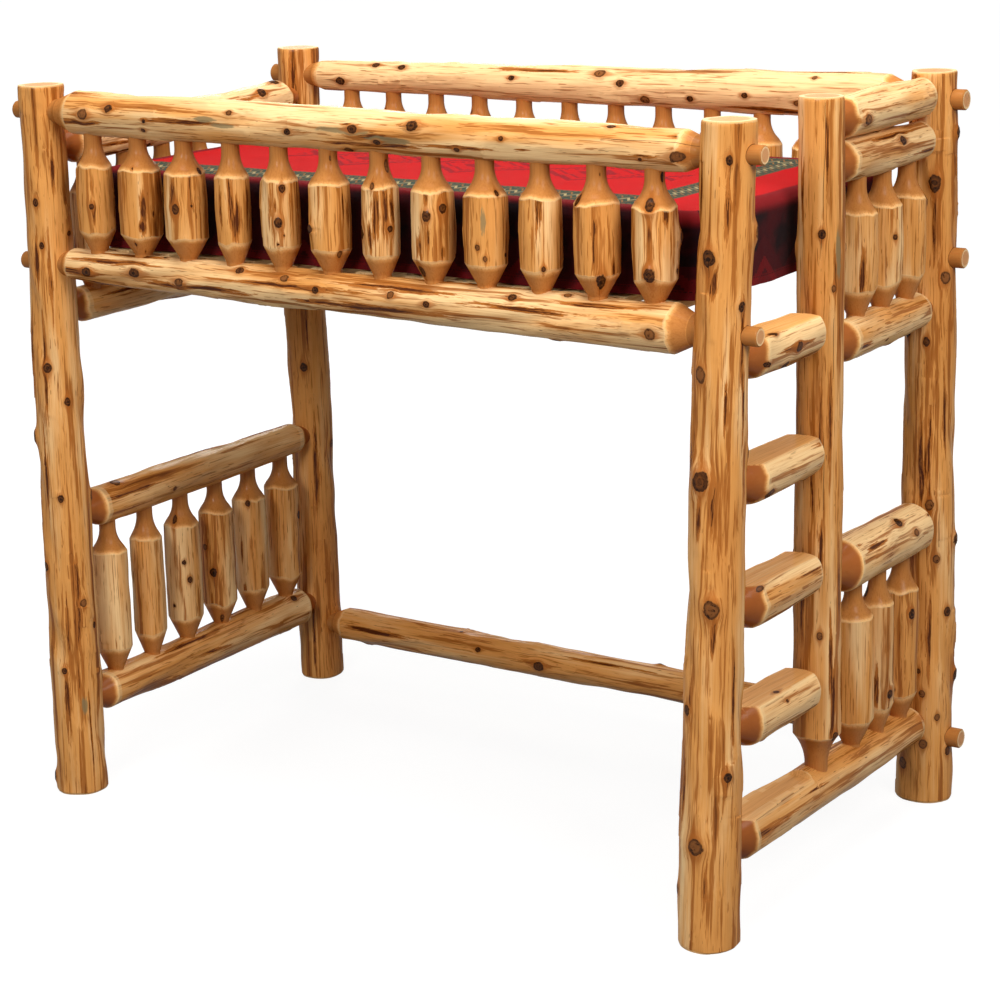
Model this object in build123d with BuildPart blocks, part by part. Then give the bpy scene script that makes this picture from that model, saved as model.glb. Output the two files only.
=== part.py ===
from build123d import *
import os
from dataclasses import dataclass
from math import sqrt

os.makedirs("parts", exist_ok=True)

# Twin loft bed of peeled cedar logs with a ladder built into its right end.
# Millimetres. +X runs along the bed towards the ladder end, +Y from the front to the back, +Z up.
# The origin is on the floor, in the middle of the four corner posts.

# ------------------------------------------------------------------ mattress and what it decides
mattress_length = 1905.0
mattress_width = 991.0
mattress_thickness = 205.0
mattress_corner_r = 70.0
mattress_edge_r = 30.0
end_clearance = 32.0  # from the mattress to the log across either end
side_clearance = 27.0  # from the mattress to the log along either side
end_log_d = 111.0  # nominal size of the logs across the ends
side_log_d = 115.0  # nominal size of the logs along the sides
post_x = mattress_length / 2 + end_clearance + end_log_d / 2
post_y = mattress_width / 2 + side_clearance + side_log_d / 2

# ------------------------------------------------------------------ heights of the log axes
bed_rail_z = 1522.0  # side rails that carry the deck
guard_rise = 408.0  # guard rails above the bed rails
guard_z = bed_rail_z + guard_rise
post_overtop = 75.0  # posts above the guard rails
saw_waste = 15.0  # length of log sawn off level at a post's foot and top
post_height = guard_z + post_overtop
back_stretcher_z = 182.0
end_bed_rail_z = bed_rail_z - 136.0
right_guard_z = guard_z + 13.0
right_guard_pitch = 109.0  # the two guard logs of the ladder end lie one on the other
left_guard_z = guard_z - 82.0
low_rail_z = 797.0
left_foot_rail_z = 257.0
step_z = 229.0  # foot rail of the ladder end, which is also the lowest step
top_rung_z = bed_rail_z - 76.0
rung_count = 4
ladder_post_y = -73.0

# ------------------------------------------------------------------ joints between logs
fit_gap = 0.2  # between a round tenon and its hole
neck_reveal = 3.0  # plain collar that shows before the shoulder cone begins
side_neck_d = 67.0  # collar of a side rail
end_neck_d = 62.0  # collar of a rail or rung across an end
front_tenon_d = 46.0  # tenon that runs through a front post
back_tenon_d = 54.0  # tenon that runs through a back post
counterbore_depth = 25.0
blind_depth = 30.0
tenon_stick_out = 30.0
tenon_chamfer = 3.0
drill_start = 12.0  # drills start this far outside a log, clear of its round surface

# ------------------------------------------------------------------ spindles
side_spindle_count = 12
left_spindle_count = 6
right_spindle_count = 3
spindle_tenon_d = 47.0
spindle_tenon_length = 30.0
side_spindle_foot = 54.0  # cone between the lower rail and the body
side_spindle_neck = 84.0  # flared neck between the body and the upper rail
end_spindle_foot = 66.0
end_spindle_neck = 88.0
spindle_shoulder = 16.0  # steep cone between the body and the flared neck
spindle_shoulder_share = 0.82  # how much of the body's radius is left above that cone
front_spindle_margins = (116.0, 122.0)  # from a post's face to the first and last spindle's axis
back_spindle_margins = (139.0, 131.0)
left_spindle_margins = (98.0, 108.0)
right_spindle_margins = (139.0, 98.0)
spindle_body_ds = (97.0, 113.0, 111.0, 90.0, 97.0, 105.0, 94.0, 105.0, 105.0, 102.0, 109.0, 108.0)
spindle_barrel = 2.0  # a body is this much fatter at its middle, on the radius

# ------------------------------------------------------------------ ladder
ladder_foot_cone = 84.0
ladder_foot_d = 59.0
tread_width = 76.0  # planed flat on the step
rung_tread_width = 94.0  # planed flat on a rung
tread_end_gap = 55.0  # the step's flat stops this far short of the ladder post's axis

# ------------------------------------------------------------------ deck
cleat_seat = 40.0  # from a bed rail's axis to the flat planed for its cleat
cleat_width = 50.0
cleat_height = 38.0
cleat_end_margin = 66.0  # from a post's face to the cleat's end
slat_count = 13
slat_width = 90.0
slat_thickness = 20.0
slat_bearing = 28.0
slat_end_margin = 20.0  # from a cleat's end to the first slat
bedding_gap = 0.4  # between mattress, slats and bedspread
spread_thickness = 7.0
spread_hem_gap = 2.0  # hem above the slats

# ------------------------------------------------------------------ screws of the deck
lag_d = 8.0
lag_length = 82.0
lag_head_across = 13.0
lag_head_height = 5.5
slat_screw_d = 5.0
slat_screw_length = 45.0
slat_screw_head_d = 10.0
screw_fit = 0.06


@dataclass
class Log:
    """A peeled log between two points of its axis, with its thickness at start, middle and end."""

    start: Vector
    end: Vector
    diameters: tuple[float, float, float]

    @property
    def length(self) -> float:
        return (self.end - self.start).length

    @property
    def direction(self) -> Vector:
        return (self.end - self.start).normalized()

    @property
    def side(self) -> Plane:
        """Plane through the axis, with its x along the log."""
        reference = Vector(0, 0, 1) if abs(self.direction.Z) < 0.5 else Vector(1, 0, 0)
        return Plane(origin=self.start, x_dir=self.direction, z_dir=self.direction.cross(reference))

    def radius(self, distance: float) -> float:
        """Radius at a distance along the axis: an even taper from each end to the middle."""
        share = 2 * distance / self.length
        first, middle, last = self.diameters
        if share < 1:
            return (first + (middle - first) * share) / 2
        return (middle + (last - middle) * (share - 1)) / 2

    def centre(self, distance: float) -> Vector:
        return self.start + self.direction * distance

    def turned(self, outline: list[tuple[float, float]]) -> Part:
        """The solid that an outline of (distance along the axis, radius) points sweeps round the axis."""
        with BuildPart() as wood:
            with BuildSketch(self.side):
                with BuildLine():
                    Polyline(*outline, close=True)
                make_face()
            revolve(axis=Axis(self.start, self.direction))
        return wood.part

    def solid(self, overrun: float) -> Part:
        """The whole log, which runs on past both ends."""
        low, high = -overrun, self.length + overrun
        return self.turned(
            [
                (low, 0),
                (low, self.radius(low)),
                (self.length / 2, self.radius(self.length / 2)),
                (high, self.radius(high)),
                (high, 0),
            ]
        )


@dataclass
class Tenon:
    """How a log's end enters a post: cone, collar and, for a side rail, a tenon right through."""

    neck_d: float
    cone_length: float
    through_d: float = 0.0

    def outline(self, post_radius: float) -> list[tuple[float, float]]:
        """(distance from the post's axis, radius) from the tip to the top of the collar."""
        neck_r, neck_end = self.neck_d / 2, post_radius + neck_reveal
        if not self.through_d:
            seat = post_radius - blind_depth
            return [(seat, 0), (seat, neck_r), (neck_end, neck_r)]
        seat, tip = post_radius - counterbore_depth, -(post_radius + tenon_stick_out)
        tenon_r = self.through_d / 2
        return [(tip, 0), (tip, tenon_r), (seat, tenon_r), (seat, neck_r), (neck_end, neck_r)]


@dataclass
class Joined:
    """A log that runs from one post to another, with the tenons on its two ends."""

    log: Log
    posts: tuple[Log, Log]
    tenons: tuple[Tenon, Tenon]

    @property
    def post_radii(self) -> tuple[float, float]:
        start, end = self.log.start, self.log.end
        return self.posts[0].radius(start.Z), self.posts[1].radius(end.Z)

    def socket(self, end: int) -> tuple[Plane, Tenon]:
        """Where the drill starts outside post 0 or post 1, facing away from it, and for which tenon."""
        facing = self.log.direction * (1 if end == 0 else -1)
        foot = self.log.start if end == 0 else self.log.end
        mouth = foot + facing * (self.post_radii[end] + drill_start)
        return Plane(origin=mouth, z_dir=facing), self.tenons[end]

    def crown(self, x: float, y: float, side: int) -> float:
        """Height of the log's upper (1) or lower (-1) surface over a point of the floor."""
        distance = (Vector(x, y, self.log.start.Z) - self.log.start).dot(self.log.direction)
        return self.log.centre(distance).Z + side * self.log.radius(distance)

    def turned(self) -> Part:
        """The log with the cones, collars and tenons turned on both ends."""
        log, (near, far) = self.log, self.tenons
        near_shoulder = self.post_radii[0] + neck_reveal + near.cone_length
        far_shoulder = log.length - self.post_radii[1] - neck_reveal - far.cone_length
        body = [(s, log.radius(s)) for s in (near_shoulder, log.length / 2, far_shoulder)]
        far_end = [(log.length - s, r) for s, r in reversed(far.outline(self.post_radii[1]))]
        return log.turned(near.outline(self.post_radii[0]) + body + far_end)


def write(builder: BuildPart, name: str) -> None:
    """Label a finished piece and write its file."""
    builder.part.label = name
    export_step(builder.part, f"parts/{name}.step")


def spread(low: float, high: float, margins: tuple[float, float], count: int) -> list[float]:
    """Evenly spaced places between two faces, each margin away from its face."""
    first, last = low + margins[0], high - margins[1]
    return [first + (last - first) * i / (count - 1) for i in range(count)]


# ------------------------------------------------------------------ the posts, foot to top
def post_log(x: float, y: float, lean: tuple[float, float], diameters: tuple[float, float, float]) -> Log:
    """A standing log whose foot and top lie lean[0] and lean[1] away from the post line in x."""
    foot = Vector(x + lean[0], y, 0)
    top = Vector(x + lean[1], y, post_height)
    return Log(foot, top, diameters)


front_left = post_log(-post_x, -post_y, (-2, 14), (144, 134, 119))
front_right = post_log(post_x, -post_y, (-36, 23), (157, 134, 125))
back_left = post_log(-post_x, post_y, (-24, -17), (137, 129, 121))
back_right = post_log(post_x, post_y, (11, -4), (157, 140, 125))
ladder = post_log(post_x, ladder_post_y, (0, 0), (122, 121, 113))


def standing_at(post: Log, z: float) -> Vector:
    """Point of a post's axis at a height."""
    return post.start + (post.end - post.start) * (z / post_height)


def between(
    posts: tuple[Log, Log],
    heights: tuple[float, float],
    diameters: tuple[float, float, float],
    tenons: tuple[Tenon, Tenon],
) -> Joined:
    """A log whose axis meets two posts' axes at the two heights."""
    start, end = standing_at(posts[0], heights[0]), standing_at(posts[1], heights[1])
    return Joined(Log(start, end, diameters), posts, tenons)


# ------------------------------------------------------------------ the rails
def side_tenons(through_d: float, near_cone: float, far_cone: float) -> tuple[Tenon, Tenon]:
    return Tenon(side_neck_d, near_cone, through_d), Tenon(side_neck_d, far_cone, through_d)


def end_tenons(near_cone: float, far_cone: float) -> tuple[Tenon, Tenon]:
    return Tenon(end_neck_d, near_cone), Tenon(end_neck_d, far_cone)


front_posts = (front_left, front_right)
back_posts = (back_left, back_right)
left_posts = (front_left, back_left)
right_panel = (ladder, back_right)

front_guard_rail = between(
    front_posts, (guard_z + 5, guard_z - 2), (118, 109, 98), side_tenons(front_tenon_d, 66, 42)
)
front_bed_rail = between(
    front_posts, (bed_rail_z + 4, bed_rail_z - 8), (87, 113, 122), side_tenons(front_tenon_d, 24, 56)
)
back_guard_rail = between(
    back_posts, (guard_z - 5, guard_z + 2), (88, 107, 124), side_tenons(back_tenon_d, 40, 62)
)
back_bed_rail = between(
    back_posts, (bed_rail_z, bed_rail_z - 4), (120, 112, 102), side_tenons(back_tenon_d, 55, 44)
)
back_stretcher = between(
    back_posts, (back_stretcher_z,) * 2, (104, 98, 94), side_tenons(back_tenon_d, 44, 40)
)
left_guard_rail = between(
    left_posts, (left_guard_z - 16, left_guard_z + 15), (106, 108, 104), end_tenons(48, 44)
)
left_bed_rail = between(left_posts, (end_bed_rail_z + 4,) * 2, (96, 99, 102), end_tenons(40, 44))
left_low_rail = between(left_posts, (low_rail_z + 10, low_rail_z + 4), (114, 108, 94), end_tenons(52, 44))
left_foot_rail = between(left_posts, (left_foot_rail_z,) * 2, (110, 117, 120), end_tenons(44, 50))
right_guard_rail = between(
    right_panel, (right_guard_z, right_guard_z + 2), (110, 109, 104), end_tenons(46, 30)
)
right_second_guard_rail = between(
    right_panel, (right_guard_z - right_guard_pitch,) * 2, (106, 104, 100), end_tenons(44, 30)
)
right_bed_rail = between(right_panel, (end_bed_rail_z,) * 2, (116, 103, 92), end_tenons(56, 24))
right_low_rail = between(right_panel, (low_rail_z + 4, low_rail_z), (146, 140, 126), end_tenons(60, 30))
step_rail = between(
    (front_right, back_right), (step_z + 12, step_z + 6), (138, 122, 100), end_tenons(46, 30)
)

rungs = []
rung_ds = ((132, 130, 124), (134, 132, 124), (130, 126, 120), (124, 124, 118))
for level in range(1, rung_count + 1):
    rung_z = step_z + (top_rung_z - step_z) * level / rung_count
    rung_d = rung_ds[(level - 1) % len(rung_ds)]
    rungs.append(between((front_right, ladder), (rung_z,) * 2, rung_d, end_tenons(58, 28)))


# ------------------------------------------------------------------ the spindles
@dataclass
class Spindle:
    """A turned-down length of log standing between two rails."""

    x: float
    y: float
    lower: Joined
    upper: Joined
    body_d: float
    foot: float
    neck: float

    @property
    def seat_z(self) -> float:
        """Bottom of the hole in the lower rail."""
        return self.lower.crown(self.x, self.y, 1) - spindle_tenon_length

    @property
    def roof_z(self) -> float:
        """Bottom of the hole in the upper rail."""
        return self.upper.crown(self.x, self.y, -1) + spindle_tenon_length

    def outline(self) -> Face:
        """Half section, as (radius, height)."""
        tenon_r, body_r = spindle_tenon_d / 2, self.body_d / 2
        belly_r, flare_r = body_r + spindle_barrel, body_r * spindle_shoulder_share
        foot_z = self.seat_z + spindle_tenon_length
        body_z = foot_z + self.foot
        rail_z = self.roof_z - spindle_tenon_length
        shoulder_z = rail_z - self.neck
        flare_z = shoulder_z + spindle_shoulder
        collar_z = rail_z - self.neck / 5
        top_z = self.roof_z - fit_gap
        with BuildSketch(Plane.XZ) as half:
            with BuildLine():
                Polyline((0, top_z), (0, self.seat_z), (tenon_r, self.seat_z), (tenon_r, foot_z))
                Line((tenon_r, foot_z), (body_r, body_z))
                Polyline((body_r, body_z), (belly_r, (body_z + shoulder_z) / 2), (body_r, shoulder_z))
                Line((body_r, shoulder_z), (flare_r, flare_z))
                TangentArc((tenon_r, collar_z), (flare_r, flare_z), tangent=(0, -1))
                Polyline((tenon_r, collar_z), (tenon_r, top_z), (0, top_z))
            make_face()
        return half.sketch

    def solid(self) -> Part:
        place = Location((self.x, self.y, 0))
        with BuildPart() as body:
            add(self.outline())
            revolve(axis=Axis.Z)
        return body.part.moved(place)


def rail_face(post: Log, z: float, towards: Vector) -> Vector:
    """Point of a post's surface that faces a neighbour."""
    return standing_at(post, z) + towards * post.radius(z)


def side_spindles(lower: Joined, upper: Joined, margins: tuple[float, float], order: int) -> list[Spindle]:
    """Spindles along a side rail, with the body sizes taken in the order 1 or -1."""
    mid_z = (lower.log.start.Z + upper.log.start.Z) / 2
    low = rail_face(lower.posts[0], mid_z, Vector(1, 0, 0))
    high = rail_face(lower.posts[1], mid_z, Vector(-1, 0, 0))
    sizes = spindle_body_ds[::order]
    return [
        Spindle(x, low.Y, lower, upper, sizes[i % len(sizes)], side_spindle_foot, side_spindle_neck)
        for i, x in enumerate(spread(low.X, high.X, margins, side_spindle_count))
    ]


def end_spindles(
    lower: Joined, upper: Joined, margins: tuple[float, float], count: int, first_size: int
) -> list[Spindle]:
    """Spindles across an end panel, on the line between its upper rail's two posts."""
    mid_z = (lower.log.start.Z + upper.log.start.Z) / 2
    low = rail_face(upper.posts[0], mid_z, Vector(0, 1, 0))
    high = rail_face(upper.posts[1], mid_z, Vector(0, -1, 0))
    spindles = []
    for i, y in enumerate(spread(low.Y, high.Y, margins, count)):
        share = (y - low.Y) / (high.Y - low.Y)
        x = low.X + (high.X - low.X) * share
        size = spindle_body_ds[(first_size + i) % len(spindle_body_ds)]
        spindles.append(Spindle(x, y, lower, upper, size, end_spindle_foot, end_spindle_neck))
    return spindles


front_spindles = side_spindles(front_bed_rail, front_guard_rail, front_spindle_margins, 1)
back_spindles = side_spindles(back_bed_rail, back_guard_rail, back_spindle_margins, -1)
left_upper = end_spindles(left_bed_rail, left_guard_rail, left_spindle_margins, left_spindle_count, 4)
left_lower = end_spindles(left_foot_rail, left_low_rail, left_spindle_margins, left_spindle_count, 5)
right_upper = end_spindles(
    right_bed_rail, right_second_guard_rail, right_spindle_margins, right_spindle_count, 7
)
right_lower = end_spindles(step_rail, right_low_rail, right_spindle_margins, right_spindle_count, 2)

for i, spindle in enumerate(front_spindles, 1):
    with BuildPart() as front_spindle:
        add(spindle.solid())
    write(front_spindle, f"front_spindle_{i:02d}")

for i, spindle in enumerate(back_spindles, 1):
    with BuildPart() as back_spindle:
        add(spindle.solid())
    write(back_spindle, f"back_spindle_{i:02d}")

panels = {
    "left_upper_spindles": left_upper,
    "left_lower_spindles": left_lower,
    "right_upper_spindles": right_upper,
    "right_lower_spindles": right_lower,
}
for name, group in panels.items():
    with BuildPart() as panel_spindles:
        for spindle in group:
            add(spindle.solid())
    write(panel_spindles, name)


# ------------------------------------------------------------------ the deck's places
slat_under_z = bed_rail_z + cleat_height / 2 + 2
slat_top_z = slat_under_z + slat_thickness
cleat_mid_z = slat_under_z - cleat_height / 2
cleat_face_y = post_y - cleat_seat
slat_half = cleat_face_y - cleat_width + slat_bearing
bed_half_x = post_x - front_left.radius(bed_rail_z)
cleat_half = bed_half_x - cleat_end_margin
slat_xs = spread(-cleat_half, cleat_half, (slat_end_margin + slat_width / 2,) * 2, slat_count)
slat_screw_y = cleat_face_y - cleat_width + slat_bearing / 2
lag_xs = [(a + b) / 2 for a, b in zip(slat_xs[::2], slat_xs[1::2])]
lag_grip = lag_length - cleat_width  # how far a lag screw goes into its rail


# ------------------------------------------------------------------ cutting the rails
def drill_spindle_holes(spindles: list[Spindle], upper: bool) -> Part:
    """The wood that the drill takes out of the upper or the lower rail."""
    with BuildPart() as drillings:
        for spindle in spindles:
            bottom_z = spindle.roof_z if upper else spindle.seat_z
            sweep_out = -1 if upper else 1
            with BuildSketch(Plane.XY.offset(bottom_z)):
                with Locations((spindle.x, spindle.y)):
                    Circle(spindle_tenon_d / 2 + fit_gap)
            extrude(amount=sweep_out * (spindle_tenon_length + drill_start))
    return drillings.part


def build_side_rail(name: str, joined: Joined, spindles: list[Spindle], upper: bool, cleat_side: int) -> None:
    """A rail with through tenons; cleat_side is the way its inner side faces, or 0 for no cleat."""
    with BuildPart() as rail:
        add(joined.turned())
        tips = rail.faces().sort_by(Axis.X)
        chamfer([tips[0].edges(), tips[-1].edges()], length=tenon_chamfer)
        if spindles:
            add(drill_spindle_holes(spindles, upper), mode=Mode.SUBTRACT)
        if cleat_side:
            face_y = -cleat_side * cleat_face_y
            with BuildSketch(Plane.XZ.offset(-face_y)):
                with Locations((0, bed_rail_z)):
                    Rectangle(2 * cleat_half, 2 * side_log_d)
            extrude(amount=-cleat_side * side_log_d, mode=Mode.SUBTRACT)
            screw_faces = [Plane(origin=(x, face_y, cleat_mid_z), z_dir=(0, cleat_side, 0)) for x in lag_xs]
            with Locations(*screw_faces):
                Hole(lag_d / 2 + screw_fit, depth=lag_grip + screw_fit)
    write(rail, name)


build_side_rail("front_guard_rail", front_guard_rail, front_spindles, True, 0)
build_side_rail("front_bed_rail", front_bed_rail, front_spindles, False, 1)
build_side_rail("back_guard_rail", back_guard_rail, back_spindles, True, 0)
build_side_rail("back_bed_rail", back_bed_rail, back_spindles, False, -1)
build_side_rail("back_stretcher", back_stretcher, [], False, 0)


def build_end_rail(name: str, joined: Joined, spindles: list[Spindle], upper: bool) -> None:
    """A rail across an end, with blind tenons and a row of spindle holes."""
    with BuildPart() as rail:
        add(joined.turned())
        if spindles:
            add(drill_spindle_holes(spindles, upper), mode=Mode.SUBTRACT)
    write(rail, name)


build_end_rail("left_guard_rail", left_guard_rail, left_upper, True)
build_end_rail("left_bed_rail", left_bed_rail, left_upper, False)
build_end_rail("left_low_rail", left_low_rail, left_lower, True)
build_end_rail("left_foot_rail", left_foot_rail, left_lower, False)
build_end_rail("right_guard_rail", right_guard_rail, [], False)
build_end_rail("right_second_guard_rail", right_second_guard_rail, right_upper, True)
build_end_rail("right_bed_rail", right_bed_rail, right_upper, False)
build_end_rail("right_low_rail", right_low_rail, right_lower, True)


# ------------------------------------------------------------------ rungs and the lowest step
def tread_z(joined: Joined, width: float) -> float:
    """Height at which a level plane leaves a flat of that width at the log's middle."""
    middle = joined.log.length / 2
    return joined.log.centre(middle).Z + sqrt(joined.log.radius(middle) ** 2 - (width / 2) ** 2)


for level, joined in enumerate(rungs, 1):
    with BuildPart() as rung:
        add(joined.turned())
        split(bisect_by=Plane.XY.offset(tread_z(joined, rung_tread_width)), keep=Keep.BOTTOM)
    write(rung, f"rung_{level}")

ladder_seat_z = step_rail.crown(post_x, ladder_post_y, 1) - blind_depth
tread_start_y = -post_y + front_right.radius(step_z)
tread_end_y = ladder_post_y - tread_end_gap
with BuildPart() as step:
    add(step_rail.turned())
    add(drill_spindle_holes(right_lower, False), mode=Mode.SUBTRACT)
    with BuildSketch(Plane.XY.offset(tread_z(step_rail, tread_width))):
        with Locations((post_x, (tread_start_y + tread_end_y) / 2)):
            Rectangle(2 * end_log_d, tread_end_y - tread_start_y)
    extrude(amount=end_log_d, mode=Mode.SUBTRACT)
    with BuildSketch(Plane.XY.offset(ladder_seat_z)):
        with Locations((post_x, ladder_post_y)):
            Circle(ladder_foot_d / 2 + fit_gap)
    extrude(amount=blind_depth + drill_start, mode=Mode.SUBTRACT)
write(step, "step_rail")


# ------------------------------------------------------------------ the posts
def build_post(name: str, log: Log, sockets: list[tuple[Plane, Tenon]]) -> None:
    """A corner post, sawn level at foot and top, with its through mortises and blind sockets."""
    with BuildPart() as post:
        add(log.solid(saw_waste))
        split(bisect_by=Plane.XY, keep=Keep.TOP)
        split(bisect_by=Plane.XY.offset(post_height), keep=Keep.BOTTOM)
        for mouth, tenon in sockets:
            with Locations(mouth):
                if tenon.through_d:
                    CounterBoreHole(
                        radius=tenon.through_d / 2 + fit_gap,
                        counter_bore_radius=tenon.neck_d / 2 + fit_gap,
                        counter_bore_depth=drill_start + counterbore_depth,
                        depth=2 * (drill_start + max(log.diameters)),
                    )
                else:
                    Hole(tenon.neck_d / 2 + fit_gap, depth=drill_start + blind_depth)
    write(post, name)


left_rails = [left_guard_rail, left_bed_rail, left_low_rail, left_foot_rail]
right_rails = [right_guard_rail, right_second_guard_rail, right_bed_rail, right_low_rail]
back_rails = [back_guard_rail, back_bed_rail, back_stretcher]
front_rails = [front_guard_rail, front_bed_rail]

front_right_sockets = [r.socket(1) for r in front_rails] + [r.socket(0) for r in [*rungs, step_rail]]
back_left_sockets = [r.socket(0) for r in back_rails] + [r.socket(1) for r in left_rails]
build_post("front_left_post", front_left, [r.socket(0) for r in front_rails + left_rails])
build_post("front_right_post", front_right, front_right_sockets)
build_post("back_left_post", back_left, back_left_sockets)
build_post("back_right_post", back_right, [r.socket(1) for r in [*back_rails, *right_rails, step_rail]])

with BuildPart() as ladder_post:
    foot_neck_z = ladder_seat_z + blind_depth + neck_reveal
    cone_top_z = foot_neck_z + ladder_foot_cone
    foot_r, body_r = ladder_foot_d / 2, ladder.radius(cone_top_z)
    with BuildSketch(ladder.side):
        with BuildLine():
            Polyline((post_height, 0), (ladder_seat_z, 0), (ladder_seat_z, foot_r), (foot_neck_z, foot_r))
            TangentArc((foot_neck_z, foot_r), (cone_top_z, body_r), tangent=(1, 0))
            Polyline(
                (cone_top_z, body_r),
                (post_height / 2, ladder.radius(post_height / 2)),
                (post_height, ladder.radius(post_height)),
                (post_height, 0),
            )
        make_face()
    revolve(axis=Axis(ladder.start, ladder.direction))
    for mouth, tenon in [r.socket(1) for r in rungs] + [r.socket(0) for r in right_rails]:
        with Locations(mouth):
            Hole(tenon.neck_d / 2 + fit_gap, depth=drill_start + blind_depth)
write(ladder_post, "ladder_post")


# ------------------------------------------------------------------ the deck
def build_cleat(name: str, cleat_side: int) -> None:
    """A square strip screwed to the flat on a bed rail's inner side."""
    inner_y = -cleat_side * (cleat_face_y - cleat_width)
    with BuildPart() as cleat:
        with BuildSketch(Plane.XY.offset(slat_under_z)):
            with Locations((0, -cleat_side * (cleat_face_y - cleat_width / 2))):
                Rectangle(2 * cleat_half, cleat_width)
        extrude(amount=-cleat_height)
        with Locations(*[Plane(origin=(x, inner_y, cleat_mid_z), z_dir=(0, cleat_side, 0)) for x in lag_xs]):
            Hole(lag_d / 2 + screw_fit, depth=cleat_width)
        with Locations(*[(x, -cleat_side * slat_screw_y, slat_under_z) for x in slat_xs]):
            Hole(slat_screw_d / 2 + screw_fit, depth=slat_screw_length - slat_thickness + screw_fit)
    write(cleat, name)


build_cleat("front_cleat", 1)
build_cleat("back_cleat", -1)

with BuildPart() as slats:
    with BuildSketch(Plane.XY.offset(slat_under_z)):
        with Locations(*[(x, 0) for x in slat_xs]):
            Rectangle(slat_width, 2 * slat_half)
    extrude(amount=slat_thickness)
    fillet(slats.edges().filter_by(Axis.Y).group_by(Axis.Z)[-1], radius=3)
    with Locations(*[(x, y, slat_top_z) for x in slat_xs for y in (-slat_screw_y, slat_screw_y)]):
        CounterSinkHole(slat_screw_d / 2 + screw_fit, slat_screw_head_d / 2, depth=slat_thickness)
write(slats, "slats")

with BuildPart() as lag_screws:
    for cleat_side in (1, -1):
        head_y = -cleat_side * (cleat_face_y - cleat_width)
        for x in lag_xs:
            with BuildSketch(Plane(origin=(x, head_y, cleat_mid_z), z_dir=(0, cleat_side, 0))):
                RegularPolygon(lag_head_across / 2, 6, major_radius=False)
            extrude(amount=lag_head_height)
            with BuildSketch(Plane(origin=(x, head_y, cleat_mid_z), z_dir=(0, cleat_side, 0))):
                Circle(lag_d / 2)
            extrude(amount=-lag_length)
write(lag_screws, "lag_screws")

with BuildPart() as slat_screws:
    head_r, shank_r = slat_screw_head_d / 2 - screw_fit, slat_screw_d / 2
    with BuildSketch(Plane.XZ) as half_screw:
        with BuildLine():
            Polyline(
                (0, 0),
                (head_r, 0),
                (shank_r, shank_r - head_r),
                (shank_r, -slat_screw_length),
                (0, -slat_screw_length),
                close=True,
            )
        make_face()
    one_screw = revolve(half_screw.sketch, axis=Axis.Z, mode=Mode.PRIVATE)
    with Locations(*[(x, y, slat_top_z) for x in slat_xs for y in (-slat_screw_y, slat_screw_y)]):
        add(one_screw)
write(slat_screws, "slat_screws")

# ------------------------------------------------------------------ the bedding
mattress_z = slat_top_z + bedding_gap
spread_outer_margin = bedding_gap + spread_thickness
with BuildPart() as mattress:
    with BuildSketch(Plane.XY.offset(mattress_z)):
        RectangleRounded(mattress_length, mattress_width, mattress_corner_r)
    extrude(amount=mattress_thickness)
    fillet(mattress.faces().filter_by(Axis.Z).edges(), radius=mattress_edge_r)
write(mattress, "mattress")

spread_inner_z = mattress_z + mattress_thickness + bedding_gap
hem_z = slat_top_z + spread_hem_gap
with BuildPart() as under_spread:
    with BuildSketch(Plane.XY.offset(hem_z)):
        RectangleRounded(
            mattress_length + 2 * bedding_gap,
            mattress_width + 2 * bedding_gap,
            mattress_corner_r + bedding_gap,
        )
    extrude(amount=spread_inner_z - hem_z)
    fillet(under_spread.faces().sort_by(Axis.Z)[-1].edges(), radius=mattress_edge_r + bedding_gap)

with BuildPart() as bedspread:
    with BuildSketch(Plane.XY.offset(hem_z)):
        RectangleRounded(
            mattress_length + 2 * spread_outer_margin,
            mattress_width + 2 * spread_outer_margin,
            mattress_corner_r + spread_outer_margin,
        )
    extrude(amount=spread_inner_z + spread_thickness - hem_z)
    fillet(bedspread.faces().sort_by(Axis.Z)[-1].edges(), radius=mattress_edge_r + spread_outer_margin)
    add(under_spread.part, mode=Mode.SUBTRACT)
write(bedspread, "bedspread")
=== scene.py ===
import logging
import math
from collections.abc import Callable, Iterable, Iterator, Sequence
from contextlib import contextmanager
from dataclasses import dataclass, field
from enum import Enum

import bpy
import numpy as np
from bpy.types import Material, Mesh, Node, NodeSocket, NodeTree, Object
from mathutils import Matrix, Vector


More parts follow.
